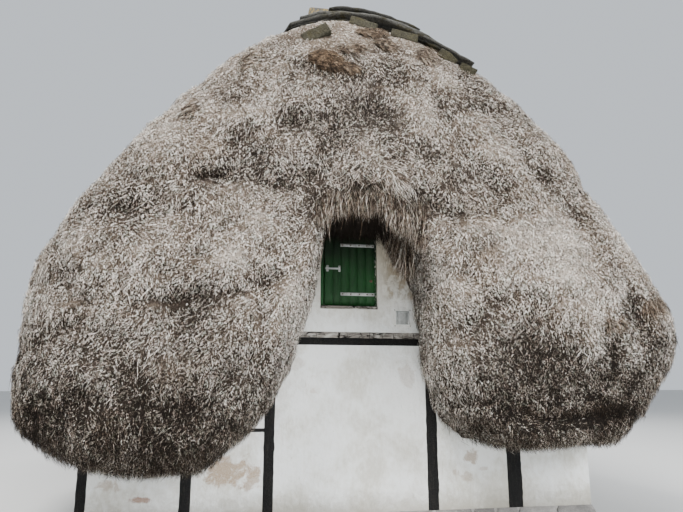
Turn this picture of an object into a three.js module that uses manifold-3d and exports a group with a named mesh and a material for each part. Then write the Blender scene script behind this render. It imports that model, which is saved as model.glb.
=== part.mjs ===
// A low half-timbered farm cottage under a very thick seaweed thatch, seen from its gable.
// Millimetres, +Z up, the origin on the ground at the middle of the walls. The front gable faces -Y.
import * as THREE from "three";
import { mergeVertices } from "three/addons/utils/BufferGeometryUtils.js";
import Module from "manifold-3d";

const wasm = await Module();
wasm.setup();

// Walls: overall size, thickness, and the gap kept between pieces that touch
const HALF_WIDTH = 2880;
const HALF_LENGTH = 4500;
const WALL = 160;
const GAP = 0.3;
const PLINTH = { height: 150, proud: 30, width: 250 };
const FLOOR_TOP = 170;
const FOOT = PLINTH.height + GAP;

// The gables: tie beam, the grey timber on it, and the top of the wall
const BEAM = { bottom: 1977, top: 2057 };
const SILL_TOP = 2130;
const TIMBER_PROUD = 5;
const GABLE_APEX = 5560;
const ROOF_SLOPE = (GABLE_APEX - SILL_TOP) / HALF_WIDTH;

// The front gable's posts from left to right, by middle and width, and the rail in its second bay
const FRONT_POSTS = [
  { x: -2832, width: 96 },
  { x: -1790, width: 115 },
  { x: -920, width: 112 },
  { x: 945, width: 125 },
  { x: 1935, width: 175 },
];
const RAIL = { bay: 1, bottom: 1020, top: 1060, depth: 100 };
const BACK_CORNER_POST = { x: -HALF_WIDTH + 60, width: 120 };

// The loft hatch with its iron, and the vent beside it
const HATCH = { left: -361, right: 321, bottom: 2400, top: 3400, bar: 50, depth: 90, inset: 25 };
const HATCH_LEAF = { inset: 4, thick: 34 };
const HATCH_SILL = { height: 35, proud: 22 };
const STRAP = { length: 411, height: 36, thick: 6, edge: 4, upper: 3172, lower: 2579 };
const LATCH = { z: 2883, length: 185, bar: 22, thick: 8, edge: 6 };
const LATCH_PLATE = { from: 14, width: 26, height: 72, thick: 11 };
const VENT = { x: 625, z: 2305, size: 160, thick: 14, hole: 120 };

// The long walls: posts, a wall plate, window and door openings
const BAY = 1500;
const SIDE_POST = { width: 125, depth: 120 };
const PLATE = { bottom: 1930, top: BEAM.top };
const WINDOW = { width: 780, bottom: 860, top: 1680, bar: 48, depth: 60, inset: 35, glass: 5 };
const DOOR = { width: 880, top: 1860, bar: 60, depth: 90, inset: 30, leafInset: 40, leaf: 45 };
const LEFT_WINDOWS = [-1.5 * BAY, 1.5 * BAY];
const RIGHT_WINDOWS = [-1.5 * BAY];
const RIGHT_DOOR = 0.5 * BAY;

// The loft floor on its joists
const LOFT = { boards: 35, halfWidth: 2800 };
const JOIST = { width: 130, height: 115, spacing: 1000, last: 4000 };

// The thatch: a thick bell over the house. A flank is reckoned from its own side of the ridge. It is
// tucked in below its belly, and the right one is a little hollow above it.
const RIDGE = { top: 6150, crown: 30, halfLength: HALF_LENGTH + 60 };
const LEFT_FLANK = { ridge: 100, reach: 3660, belly: 1750, tuck: 0.06, bend: 2, hollow: 0 };
const RIGHT_FLANK = { ridge: 250, reach: 4070, belly: 1950, tuck: 0.205, bend: 1, hollow: 290 };
const HOLLOW = { middle: 3300, half: 1600 };
const HIP = { reach: HALF_LENGTH + 1220, belly: 1800 };
const CORNER = { radius: 1320, most: 0.55, steps: 5 };
const FLANK_POWER = { across: 1.5, up: 1.8 };
const HIP_POWER = { across: 1.75, up: 1.6 };
const RIM = { power: 2.3, gableRuns: 12, sideRuns: 30 };
const SIDE_EAVE = 1900;
const LOBE_LEFT = { front: 600, side: 760, round: 480 };
const LOBE_RIGHT = { front: 810, side: 820, round: 250 };
const BELL_FOOT = [0, 0.006, 0.02, 0.045, 0.08];
const BELL_BODY = { from: 0.125, to: 0.9, rings: 16 };
const BELL_TOP = [0.95, 0.985, 1];
const SWELL = { broad: 45, long: 35 };

// Heaps of seaweed in staggered rows on the long slopes and the back: how far out, how many round
// the eaves, how high a row is, how far it sways, and where the heaps start and end
const HEAP = { out: 120, around: 24, row: 850, sway: 0.22, swayWaves: 7, droop: 0.75, least: 0.45 };
const HEAP_BEHIND = { from: -3900, to: -2800 };
const HEAP_BELOW = { from: 0.72, to: 0.9 };

// Where the thatch lies on the house, and where its parts meet
const CLEARANCE = 12;
const ROOF_GAP = 0.6;
const INSIDE = { depth: 100, least: 20, radius: 60 };
const GABLE_CUT = HALF_LENGTH - 700;
const CROWN_CUT = 3300;
const FAR = 9000;
const BELOW = -100;

// The notch between the two lobes where it meets the wall: x and z, from left to right
const NOTCH = [
  [-2750, 250],
  [-2300, 520],
  [-1930, 620],
  [-1580, 720],
  [-1240, 980],
  [-1000, 1380],
  [-840, 1720],
  [-740, 2050],
  [-570, 2450],
  [-450, 2950],
  [-390, 3320],
  [-250, 3450],
  [0, 3470],
  [250, 3450],
  [400, 3330],
  [520, 2990],
  [700, 2640],
  [790, 2200],
  [820, 1760],
  [900, 1420],
  [1020, 1120],
  [1300, 910],
  [1750, 840],
  [2250, 740],
  [2750, 500],
];
const NOTCH_FOOT = -300;
const NOTCH_MIDDLE = 450;
const NOTCH_CROWN = { from: 2800, to: 3400 };
const NOTCH_DEPTHS = [-150, 0, 250, 500, 750, 950, 1100, 1220, 1320, 1400, 2200];
const NOTCH_FLARE = { from: 650, to: 1400, sides: 480, crown: 330 };
const NOTCH_BULGE = { depth: 1100, sides: 40, crown: 150 };

// Turf laid saddlewise over the ridge, one course on another
const TURF = { thick: 90, steps: 14, foot: 4500 };
const TURF_COURSES = [
  { left: 850, right: 1720, end: 4560 },
  { left: 740, right: 1440, end: 4500 },
  { left: 620, right: 1080, end: 4430 },
];

// The chimney that comes through the ridge, with its flue and its cap
const CHIMNEY = { y: -2500, width: 560, top: 7180, flue: 260, flueDepth: 700 };
const CAP_LOWER = { width: 640, height: 70 };
const CAP_UPPER = { bottom: 730, top: 690, height: 240 };

const material = (color, roughness = 0.9) =>
  new THREE.MeshStandardMaterial({ color, roughness, metalness: 0 });
const limewash = material(0xe6e4dc);
const blackTimber = material(0x1b1a19, 0.75);
const greyTimber = material(0xb7b1a4);
const greenPaint = material(0x1d5a33, 0.6);
const greyMetal = material(0xb9bdbb, 0.5);
const seaweed = material(0x9a8b7c);
const turf = material(0x6b6656);
const stone = material(0x8d8a84);
const boards = material(0x9b7f5c);
const clay = material(0xa58c72);
const glassPane = material(0x9db4b8, 0.1);

const mix = (a, b, t) => a + (b - a) * t;

// A closed three.js geometry as a manifold solid
function solidOf(geometry) {
  const bare = geometry.index ? geometry.toNonIndexed() : geometry.clone();
  bare.deleteAttribute("normal");
  bare.deleteAttribute("uv");
  const merged = mergeVertices(bare, 1e-3);
  return new wasm.Manifold(
    new wasm.Mesh({
      numProp: 3,
      vertProperties: merged.attributes.position.array,
      triVerts: new Uint32Array(merged.index.array),
    }),
  );
}

function geometryOf(solid) {
  const mesh = solid.getMesh();
  const points = new Float32Array(mesh.numVert * 3);
  for (let i = 0; i < mesh.numVert; i++) {
    points.set(mesh.vertProperties.subarray(i * mesh.numProp, i * mesh.numProp + 3), i * 3);
  }
  const geometry = new THREE.BufferGeometry()
    .setAttribute("position", new THREE.BufferAttribute(points, 3))
    .setIndex(new THREE.BufferAttribute(mesh.triVerts, 1));
  geometry.computeVertexNormals();
  return geometry;
}

const cottage = new THREE.Group();

function add(name, solid, look) {
  const mesh = new THREE.Mesh(geometryOf(solid), look);
  mesh.name = name;
  cottage.add(mesh);
}

// An upright block between two corners
function block(x0, x1, y0, y1, z0, z1) {
  const geometry = new THREE.BoxGeometry(x1 - x0, y1 - y0, z1 - z0);
  geometry.translate((x0 + x1) / 2, (y0 + y1) / 2, (z0 + z1) / 2);
  return solidOf(geometry);
}

// A square shaft around a middle in the plan
const pillar = (x, y, width, z0, z1) =>
  block(x - width / 2, x + width / 2, y - width / 2, y + width / 2, z0, z1);

// A square shaft that narrows upwards
function taperedPillar(x, y, bottom, top, z0, z1) {
  const geometry = new THREE.CylinderGeometry(top / Math.SQRT2, bottom / Math.SQRT2, z1 - z0, 4);
  geometry.rotateY(Math.PI / 4);
  geometry.rotateX(Math.PI / 2);
  geometry.translate(x, y, (z0 + z1) / 2);
  return solidOf(geometry);
}

// An outline in x and z, drawn out from y0 to y1
function gablePrism(outline, y0, y1) {
  const shape = new THREE.Shape(outline.map(([x, z]) => new THREE.Vector2(x, z)));
  const geometry = new THREE.ExtrudeGeometry(shape, { depth: y1 - y0, bevelEnabled: false });
  geometry.rotateX(Math.PI / 2);
  geometry.translate(0, y1, 0);
  return solidOf(geometry);
}

const chimneyShaft = (ease) =>
  pillar(0, CHIMNEY.y, CHIMNEY.width + 2 * ease, FLOOR_TOP + GAP - ease, CHIMNEY.top + ease);

function buildPlinthAndFloors() {
  const outX = HALF_WIDTH + PLINTH.proud;
  const outY = HALF_LENGTH + PLINTH.proud;
  const inX = outX - PLINTH.width;
  const inY = outY - PLINTH.width;
  const ring = block(-outX, outX, -outY, outY, 0, PLINTH.height).subtract(
    block(-inX, inX, -inY, inY, BELOW, PLINTH.height - BELOW),
  );
  add("stone_plinth", ring, stone);
  add("ground_floor", block(-inX + GAP, inX - GAP, -inY + GAP, inY - GAP, 0, FLOOR_TOP), clay);

  const innerX = HALF_WIDTH - WALL - GAP;
  const innerY = HALF_LENGTH - WALL - GAP;
  const base = BEAM.top + GAP;
  let loft = block(-LOFT.halfWidth, LOFT.halfWidth, -innerY, innerY, base, base + LOFT.boards);
  for (let y = -JOIST.last; y <= JOIST.last; y += JOIST.spacing) {
    const half = JOIST.width / 2;
    loft = loft.add(block(-innerX, innerX, y - half, y + half, base - JOIST.height, base + GAP));
  }
  add("loft_floor", loft.subtract(chimneyShaft(GAP)), boards);
}

// A block of a gable's wall: face is -1 in front and 1 behind, depth is measured in from the outer face
function gableBand(face, x0, x1, z0, z1, proud = 0, depth = WALL) {
  const outer = face * (HALF_LENGTH + proud);
  const inner = face * (HALF_LENGTH - depth);
  return block(x0, x1, Math.min(outer, inner), Math.max(outer, inner), z0, z1);
}

// The front posts and beam, with a panel after each post
function buildFrontTimbers() {
  const head = BEAM.bottom - GAP;
  const across = [-HALF_WIDTH, HALF_WIDTH];
  add("front_tie_beam", gableBand(-1, ...across, BEAM.bottom, BEAM.top, TIMBER_PROUD), blackTimber);
  add("front_gable_sill", gableBand(-1, ...across, BEAM.top + GAP, SILL_TOP), greyTimber);
  FRONT_POSTS.forEach(({ x, width }, i) => {
    const label = i + 1;
    const post = gableBand(-1, x - width / 2, x + width / 2, FOOT, head, TIMBER_PROUD);
    add("front_post_" + label, post, blackTimber);

    const next = FRONT_POSTS[i + 1];
    const from = x + width / 2 + GAP;
    const to = next ? next.x - next.width / 2 - GAP : HALF_WIDTH;
    let panel = gableBand(-1, from, to, FOOT, head);
    if (i === RAIL.bay) {
      const [low, high] = [RAIL.bottom - GAP, RAIL.top + GAP];
      const slot = gableBand(-1, from - GAP, to + GAP, low, high, GAP, RAIL.depth + GAP);
      panel = panel.subtract(slot);
      add("front_rail", gableBand(-1, from, to, RAIL.bottom, RAIL.top, 0, RAIL.depth), blackTimber);
    }
    add("front_panel_" + label, panel, limewash);
  });
}

const gableOutline = [
  [-HALF_WIDTH, SILL_TOP + GAP],
  [HALF_WIDTH, SILL_TOP + GAP],
  [0, GABLE_APEX],
];

// A square hole through both gable walls
const gableHole = (x0, x1, z0, z1) =>
  block(x0, x1, -HALF_LENGTH - WALL, HALF_LENGTH + WALL, z0, z1);

const hatchHole = () =>
  gableHole(HATCH.left - GAP, HATCH.right + GAP, HATCH.bottom - GAP, HATCH.top + GAP);

const ventBlock = (size, y0, y1) =>
  block(VENT.x - size / 2, VENT.x + size / 2, y0, y1, VENT.z - size / 2, VENT.z + size / 2);

// The front hatch has a full bar on its left and half a bar on its right, and a sill in place of one below
function buildFrontHatch() {
  const front = -HALF_LENGTH + HATCH.inset;
  const back = front + HATCH.depth;
  const low = HATCH.bottom + HATCH_SILL.height + GAP;
  const doorway = {
    left: HATCH.left + HATCH.bar,
    right: HATCH.right - HATCH.bar / 2,
    top: HATCH.top - HATCH.bar,
  };
  const frame = block(HATCH.left, HATCH.right, front, back, low, HATCH.top).subtract(
    block(doorway.left, doorway.right, front - GAP, back + GAP, low - GAP, doorway.top),
  );
  add("hatch_frame", frame, greenPaint);
  const sillFront = -HALF_LENGTH - HATCH_SILL.proud;
  add("hatch_sill", block(HATCH.left, HATCH.right, sillFront, back, HATCH.bottom, low - GAP), greyTimber);

  const leaf = { left: doorway.left + GAP, right: doorway.right - GAP, front: front + HATCH_LEAF.inset };
  const leafBack = leaf.front + HATCH_LEAF.thick;
  add(
    "hatch_leaf",
    block(leaf.left, leaf.right, leaf.front, leafBack, low + GAP, doorway.top - GAP),
    greenPaint,
  );
  buildHatchIron(leaf);
}

// Two strap hinges at the leaf's right edge and a latch with two plates at its left
function buildHatchIron(leaf) {
  const back = leaf.front - GAP;
  const right = leaf.right - STRAP.edge;
  const strap = (z) =>
    block(right - STRAP.length, right, back - STRAP.thick, back, z - STRAP.height / 2, z + STRAP.height / 2);
  add("hatch_strap_upper", strap(STRAP.upper), greyMetal);
  add("hatch_strap_lower", strap(STRAP.lower), greyMetal);

  const left = leaf.left + LATCH.edge;
  const end = left + LATCH.length;
  const flat = (x0, x1, height, thick) =>
    block(x0, x1, back - thick, back, LATCH.z - height / 2, LATCH.z + height / 2);
  const plateLeft = left + LATCH_PLATE.from;
  const latch = flat(left, end, LATCH.bar, LATCH.thick)
    .add(flat(plateLeft, plateLeft + LATCH_PLATE.width, LATCH_PLATE.height, LATCH_PLATE.thick))
    .add(flat(end - LATCH_PLATE.width, end, LATCH_PLATE.height, LATCH_PLATE.thick));
  add("hatch_latch", latch, greyMetal);
}

function buildFrontGableWall() {
  const wall = gablePrism(gableOutline, -HALF_LENGTH, -HALF_LENGTH + WALL)
    .subtract(hatchHole())
    .subtract(ventBlock(VENT.hole, -HALF_LENGTH - WALL, 0));
  add("front_gable_wall", wall, limewash);
  const face = -HALF_LENGTH - GAP;
  add("vent_grille", ventBlock(VENT.size, face - VENT.thick, face), greyMetal);
  buildFrontHatch();
}

// The rear gable's timbers in one frame, made larger all round by the ease where the wall is cut for it
function backTimbers(ease) {
  const depth = SIDE_POST.depth + ease;
  const posts = [...FRONT_POSTS.map(({ x, width }) => ({ x: -x, width })), BACK_CORNER_POST];
  let frame = gableBand(
    1, -HALF_WIDTH, HALF_WIDTH, BEAM.bottom - ease, BEAM.top, TIMBER_PROUD, depth,
  );
  for (const { x, width } of posts) {
    const from = Math.max(x - width / 2 - ease, -HALF_WIDTH);
    const to = Math.min(x + width / 2 + ease, HALF_WIDTH);
    frame = frame.add(gableBand(1, from, to, FOOT, BEAM.bottom + GAP, TIMBER_PROUD, depth));
  }
  return frame;
}

function buildBackHatch() {
  const outer = HALF_LENGTH - HATCH.inset;
  const inner = outer - HATCH.depth;
  const within = (ease) => [HATCH.left + HATCH.bar + ease, HATCH.right - HATCH.bar - ease];
  const upright = (ease) => [HATCH.bottom + HATCH.bar + ease, HATCH.top - HATCH.bar - ease];
  const frame = block(HATCH.left, HATCH.right, inner, outer, HATCH.bottom, HATCH.top).subtract(
    block(...within(0), inner - GAP, outer + GAP, ...upright(0)),
  );
  add("back_hatch_frame", frame, greenPaint);
  const face = outer - HATCH_LEAF.inset;
  add("back_hatch_leaf", block(...within(GAP), face - HATCH_LEAF.thick, face, ...upright(GAP)), greenPaint);
}

// The rear gable repeats the front's timbers and hatch
function buildBackGable() {
  add("back_timber_frame", backTimbers(0), blackTimber);
  const outline = [[-HALF_WIDTH, FOOT], [HALF_WIDTH, FOOT], ...gableOutline.slice(1), gableOutline[0]];
  const wall = gablePrism(outline, HALF_LENGTH - WALL, HALF_LENGTH)
    .subtract(backTimbers(GAP))
    .subtract(hatchHole());
  add("back_wall", wall, limewash);
  buildBackHatch();
}

// A block of a long wall: side is -1 left and 1 right, depths are measured in from the outer face
function sideBand(side, y0, y1, z0, z1, from, to) {
  const a = side * (HALF_WIDTH - from);
  const b = side * (HALF_WIDTH - to);
  return block(Math.min(a, b), Math.max(a, b), y0, y1, z0, z1);
}

const SIDE_END = HALF_LENGTH - WALL - GAP;

// The posts and plate of a long wall, made larger by the ease where the infill is cut for them
function sideTimbers(side, ease) {
  const depth = SIDE_POST.depth + ease;
  const half = SIDE_POST.width / 2 + ease;
  let frame = sideBand(side, -SIDE_END, SIDE_END, PLATE.bottom - ease, PLATE.top, -TIMBER_PROUD, depth);
  for (let y = -2 * BAY; y <= 2 * BAY; y += BAY) {
    frame = frame.add(sideBand(side, y - half, y + half, FOOT, PLATE.bottom + GAP, -TIMBER_PROUD, depth));
  }
  return frame;
}

// A frame set in a wall opening; low is where its inside starts
function openingFrame(side, y, { width, top, inset, depth, bar }, bottom, low) {
  const y0 = y - width / 2 + GAP;
  const y1 = y + width / 2 - GAP;
  const outer = sideBand(side, y0, y1, bottom + GAP, top - GAP, inset, inset + depth);
  return outer.subtract(sideBand(side, y0 + bar, y1 - bar, low, top - GAP - bar, 0, WALL));
}

function buildWindow(side, y, label) {
  const low = WINDOW.bottom + WINDOW.bar;
  add(label + "_frame", openingFrame(side, y, WINDOW, WINDOW.bottom, low), greenPaint);
  const half = WINDOW.width / 2 - WINDOW.bar - 2 * GAP;
  const high = WINDOW.top - WINDOW.bar - 2 * GAP;
  const middle = WINDOW.inset + WINDOW.depth / 2;
  const pane = sideBand(side, y - half, y + half, low + GAP, high, middle, middle + WINDOW.glass);
  add(label + "_glass", pane, glassPane);
}

function buildDoor(side, y, label) {
  add(label + "_frame", openingFrame(side, y, DOOR, FOOT, FOOT - GAP), greenPaint);
  const half = DOOR.width / 2 - DOOR.bar - 2 * GAP;
  const high = DOOR.top - DOOR.bar - 2 * GAP;
  const back = DOOR.leafInset + DOOR.leaf;
  const leaf = sideBand(side, y - half, y + half, FOOT + GAP, high, DOOR.leafInset, back);
  add(label + "_leaf", leaf, greenPaint);
}

function buildSideWall(side, name, windows, doors) {
  const hole = (y, { width, top }, bottom) =>
    sideBand(side, y - width / 2, y + width / 2, bottom, top, -GAP, WALL + GAP);
  let infill = sideBand(side, -SIDE_END, SIDE_END, FOOT, PLATE.top, 0, WALL).subtract(sideTimbers(side, GAP));
  windows.forEach((y, i) => {
    infill = infill.subtract(hole(y, WINDOW, WINDOW.bottom));
    buildWindow(side, y, name + "_window_" + (i + 1));
  });
  for (const y of doors) {
    infill = infill.subtract(hole(y, DOOR, FOOT - GAP));
    buildDoor(side, y, name + "_door");
  }
  add(name + "_timber_frame", sideTimbers(side, 0), blackTimber);
  add(name + "_infill", infill, limewash);
}

// How much of its full reach a slope has at a height: 1 at the belly, 0 at the ridge
function slopeShare(z, belly, power) {
  const rise = THREE.MathUtils.clamp((z - belly) / (RIDGE.top - belly), 0, 1);
  return Math.pow(1 - Math.pow(rise, power.up), 1 / power.across);
}

// A flank's distance from the ridge line at a height
function flankReach(flank, z) {
  const drawnIn = flank.tuck * (Math.max(0, flank.belly - z) / 1000) ** flank.bend;
  const share = slopeShare(z, flank.belly, FLANK_POWER) * (1 - drawnIn);
  const away = Math.min(1, Math.abs(z - HOLLOW.middle) / HOLLOW.half);
  return mix(flank.ridge, flank.reach, share) - flank.hollow * Math.cos((away * Math.PI) / 2) ** 2;
}

// The height of a flank at a distance from the ridge line, the reverse of flankReach above the hollow
function flankHeight(flank, x) {
  const share = Math.max(0, (Math.abs(x) - flank.ridge) / (flank.reach - flank.ridge));
  const rise = Math.pow(1 - Math.pow(share, FLANK_POWER.across), 1 / FLANK_POWER.up);
  return mix(flank.belly, RIDGE.top, rise);
}

// The thatch's plan at a height: its outer face, and the line inside the walls where it starts
function outerPlan(z) {
  const left = flankReach(LEFT_FLANK, z);
  const right = flankReach(RIGHT_FLANK, z);
  const half = mix(RIDGE.halfLength, HIP.reach, slopeShare(z, HIP.belly, HIP_POWER));
  return { left, right, half, radius: Math.min(CORNER.radius, CORNER.most * Math.min(left, right)) };
}

function housePlan(z) {
  const wall = Math.min(HALF_WIDTH, (GABLE_APEX - z) / ROOF_SLOPE);
  const side = Math.max(INSIDE.least, wall - INSIDE.depth);
  return {
    left: side,
    right: side,
    half: HALF_LENGTH - INSIDE.depth,
    radius: Math.min(INSIDE.radius, side / 2),
  };
}

// A point on a plan's edge. A station is a straight run's share or a corner's angle.
function planPoint(station, { left, right, half, radius }) {
  const reach = station.side < 0 ? left : right;
  if (station.kind === "gable") {
    return [station.side * station.share * (reach - radius), station.face * half];
  }
  if (station.kind === "long") {
    return [station.side * reach, station.share * (half - radius)];
  }
  return [
    station.side * (reach - radius + radius * Math.sin(station.angle)),
    station.face * (half - radius + radius * Math.cos(station.angle)),
  ];
}

// The stations around the eaves, each with the height of the thatch's lower edge and how far it rounds
function eaveStations() {
  const between = (count, make) => Array.from({ length: count - 1 }, (_, i) => make((i + 1) / count));
  const gable = (face) =>
    between(RIM.gableRuns, (t) => {
      const side = -face * Math.sign(2 * t - 1);
      const rim = mix(LOBE_LEFT.front, LOBE_RIGHT.front, t);
      const round = mix(LOBE_LEFT.round, LOBE_RIGHT.round, t);
      return { kind: "gable", side, face, share: Math.abs(2 * t - 1), rim, round };
    });
  const turn = (side, face, lobe) =>
    Array.from({ length: CORNER.steps + 1 }, (_, i) => {
      const t = i / CORNER.steps;
      const rim = mix(lobe.front, lobe.side, t);
      return { kind: "corner", side, face, angle: (t * Math.PI) / 2, rim, round: lobe.round };
    });
  const longSide = (side, from, fromLobe, toLobe) =>
    between(RIM.sideRuns, (t) => {
      const rim = mix(SIDE_EAVE, (t < 0.5 ? fromLobe : toLobe).side, Math.abs(2 * t - 1) ** 3);
      const round = mix(fromLobe.round, toLobe.round, t);
      return { kind: "long", side, share: mix(from, -from, t), rim, round };
    });
  return [
    ...gable(-1),
    ...turn(1, -1, LOBE_RIGHT),
    ...longSide(1, -1, LOBE_RIGHT, LOBE_LEFT),
    ...turn(1, 1, LOBE_LEFT).reverse(),
    ...gable(1),
    ...turn(-1, 1, LOBE_RIGHT),
    ...longSide(-1, 1, LOBE_RIGHT, LOBE_LEFT),
    ...turn(-1, -1, LOBE_LEFT).reverse(),
  ];
}

// How full the thatch is at a height above its lower edge, as on a round cushion's edge
function fullness(height, round) {
  const t = 1 - Math.min(1, height / round);
  return Math.pow(1 - Math.pow(t, RIM.power), 1 / RIM.power);
}

// Slow swells of the seaweed, in millimetres outwards
function swell(x, y, z) {
  return (
    SWELL.broad * Math.sin(x / 620 + 1.3) * Math.sin(z / 430 + y / 900) +
    SWELL.long * Math.sin(y / 700 + 0.6) * Math.cos(z / 520 + x / 800)
  );
}

// The staggered heaps, in millimetres outwards, by the share of the way round the eaves, the place
// along the house, the height, and the share of the way up to the ridge
function heap(round, y, z, step) {
  const { smoothstep } = THREE.MathUtils;
  const level = z / HEAP.row + HEAP.sway * Math.sin(2 * Math.PI * HEAP.swayWaves * round);
  const row = Math.floor(level);
  const upwards = Math.sin(Math.PI * (level - row) ** HEAP.droop);
  const sideways = Math.abs(Math.sin(Math.PI * (HEAP.around * round + row / 2)));
  const behind = smoothstep(y, HEAP_BEHIND.from, HEAP_BEHIND.to);
  const below = 1 - smoothstep(step, HEAP_BELOW.from, HEAP_BELOW.to);
  return HEAP.out * behind * below * (upwards * mix(HEAP.least, 1, sideways) - 0.5);
}

// How far round the eaves each station lies, from 0 to 1
function sharesRound(stations) {
  const plan = outerPlan(HIP.belly);
  const places = stations.map((station) => new THREE.Vector2(...planPoint(station, plan)));
  const lengths = places.map((place, i) => place.distanceTo(places.at(i - 1)));
  const total = lengths.reduce((sum, length) => sum + length);
  let run = 0;
  return lengths.map((length) => {
    run += length;
    return run / total;
  });
}

// Rings of points joined into a closed skin, with a middle point at each end
function skin(rings, firstMiddle, lastMiddle) {
  const count = rings[0].length;
  const points = [...rings.flat(), firstMiddle, lastMiddle].flat();
  const first = rings.length * count;
  const indices = [];
  rings.forEach((_, row) => {
    for (let i = 0; i < count; i++) {
      const a = row * count + i;
      const b = row * count + ((i + 1) % count);
      if (row === 0) indices.push(first, b, a);
      if (row === rings.length - 1) indices.push(first + 1, a, b);
      else indices.push(a, b, b + count, a, b + count, a + count);
    }
  });
  const geometry = new THREE.BufferGeometry();
  geometry.setAttribute("position", new THREE.Float32BufferAttribute(points, 3));
  geometry.setIndex(indices);
  return mergeVertices(geometry, 1e-3);
}

// A point of the bell at a station and a share of the way up from the rim to the ridge
function bellPoint(station, round, step) {
  const z = mix(station.rim, RIDGE.top, step);
  const full = fullness(z - station.rim, station.round);
  const inner = housePlan(z);
  const outer = outerPlan(z);
  const plan = {};
  for (const key of ["left", "right", "half", "radius"]) {
    plan[key] = mix(inner[key], outer[key], full);
  }
  const [x, y] = planPoint(station, plan);
  const onRidge = THREE.MathUtils.clamp(y, -RIDGE.halfLength, RIDGE.halfLength);
  const out = new THREE.Vector2(x, y - onRidge).normalize();
  const forms = swell(x, y, z) * (1 - step ** 3) + heap(round, y, z, step);
  out.multiplyScalar(full * forms);
  return [x + out.x, y + out.y, z];
}

// The whole bell before the notches are cut out of its gables
function bellGeometry() {
  const stations = eaveStations();
  const shares = sharesRound(stations);
  const { from, to, rings: count } = BELL_BODY;
  const body = Array.from({ length: count }, (_, i) => mix(from, to, i / (count - 1)));
  const steps = [...BELL_FOOT, ...body, ...BELL_TOP];
  const rings = steps.map((step) => stations.map((station, i) => bellPoint(station, shares[i], step)));
  return skin(rings, [0, 0, SIDE_EAVE], [0, 0, RIDGE.top + RIDGE.crown]);
}

// The notch as a horn that hangs a little over the hatch and opens round the lobes' inner sides
function notchGeometry() {
  const outline = [...NOTCH, [NOTCH.at(-1)[0], NOTCH_FOOT], [NOTCH[0][0], NOTCH_FOOT]];
  const normals = outline.map((_, i) => {
    const [x0, z0] = outline.at(i - 1);
    const [x1, z1] = outline[(i + 1) % outline.length];
    return new THREE.Vector2(z0 - z1, x1 - x0).normalize();
  });
  const rings = NOTCH_DEPTHS.map((depth) => {
    const { clamp, smoothstep } = THREE.MathUtils;
    const opening = clamp((depth - NOTCH_FLARE.from) / (NOTCH_FLARE.to - NOTCH_FLARE.from), 0, 1);
    const flare = 1 - Math.sqrt(1 - opening ** 2);
    const hang = Math.sin(Math.PI * clamp(depth / NOTCH_BULGE.depth, 0, 1));
    return outline.map(([x, z], i) => {
      if (z === NOTCH_FOOT) return [x, -HALF_LENGTH - depth, z];
      const up = Math.max(0, normals[i].y) ** 2 * smoothstep(z, NOTCH_CROWN.from, NOTCH_CROWN.to);
      const out = flare * mix(NOTCH_FLARE.sides, NOTCH_FLARE.crown, up);
      const offset = out - hang * mix(NOTCH_BULGE.sides, NOTCH_BULGE.crown, up);
      return [x + offset * normals[i].x, -HALF_LENGTH - depth, z + offset * normals[i].y];
    });
  });
  const middle = (depth) => [0, -HALF_LENGTH - depth, NOTCH_MIDDLE];
  return skin(rings.reverse(), middle(NOTCH_DEPTHS.at(-1)), middle(NOTCH_DEPTHS[0]));
}

// The bell with its skin moved outwards
function grownBell(bell, distance) {
  const grown = bell.clone();
  grown.computeVertexNormals();
  const { position, normal } = grown.attributes;
  const place = new THREE.Vector3();
  const out = new THREE.Vector3();
  for (let i = 0; i < position.count; i++) {
    place.fromBufferAttribute(position, i);
    out.fromBufferAttribute(normal, i);
    position.setXYZ(i, ...place.addScaledVector(out, distance));
  }
  return solidOf(grown);
}

// The house as one block, which the thatch lies on
function houseBlock() {
  const half = HALF_WIDTH + CLEARANCE;
  const apex = GABLE_APEX + ROOF_GAP;
  const shoulder = apex - ROOF_SLOPE * half;
  const outline = [
    [-half, BELOW],
    [half, BELOW],
    [half, shoulder],
    [0, apex],
    [-half, shoulder],
  ];
  return gablePrism(outline, -HALF_LENGTH - CLEARANCE, HALF_LENGTH + CLEARANCE);
}

// The bell is cut where its parts meet, so that each is a simple mass round the hollow house
function buildThatch(bell, shaft) {
  const frontNotch = notchGeometry();
  const backNotch = frontNotch.clone().rotateZ(Math.PI);
  const thatch = bell
    .subtract(houseBlock())
    .subtract(shaft)
    .subtract(solidOf(frontNotch))
    .subtract(solidOf(backNotch));
  const half = GAP / 2;
  const front = [-FAR, -GABLE_CUT - half];
  const middle = [-GABLE_CUT + half, GABLE_CUT - half];
  const low = [BELOW, CROWN_CUT - half];
  const regions = {
    thatch_front_left_lobe: block(-FAR, -half, ...front, ...low),
    thatch_front_right_lobe: block(half, FAR, ...front, ...low),
    thatch_front_crown: block(-FAR, FAR, ...front, CROWN_CUT + half, FAR),
    thatch_left_slope: block(-FAR, -half, ...middle, BELOW, FAR),
    thatch_right_slope: block(half, FAR, ...middle, BELOW, FAR),
    thatch_back: block(-FAR, FAR, GABLE_CUT + half, FAR, BELOW, FAR),
  };
  for (const [name, region] of Object.entries(regions)) {
    add(name, thatch.intersect(region), seaweed);
  }
}

// A saddle over the ridge with its top a lift above the thatch, closed far below it
function turfSaddle({ left, right, end }, lift) {
  const outline = [];
  for (let i = 0; i <= TURF.steps; i++) {
    const x = mix(-left, right, i / TURF.steps);
    outline.push([x, flankHeight(x < 0 ? LEFT_FLANK : RIGHT_FLANK, x) + lift]);
  }
  outline.push([right, TURF.foot], [-left, TURF.foot]);
  return gablePrism(outline, -end, end);
}

function buildTurf(bed, shaft) {
  let below = bed;
  TURF_COURSES.forEach((course, i) => {
    const top = (i + 1) * (TURF.thick + GAP);
    add("turf_course_" + (i + 1), turfSaddle(course, top).subtract(below).subtract(shaft), turf);
    below = turfSaddle(course, top + GAP);
  });
}

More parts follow.
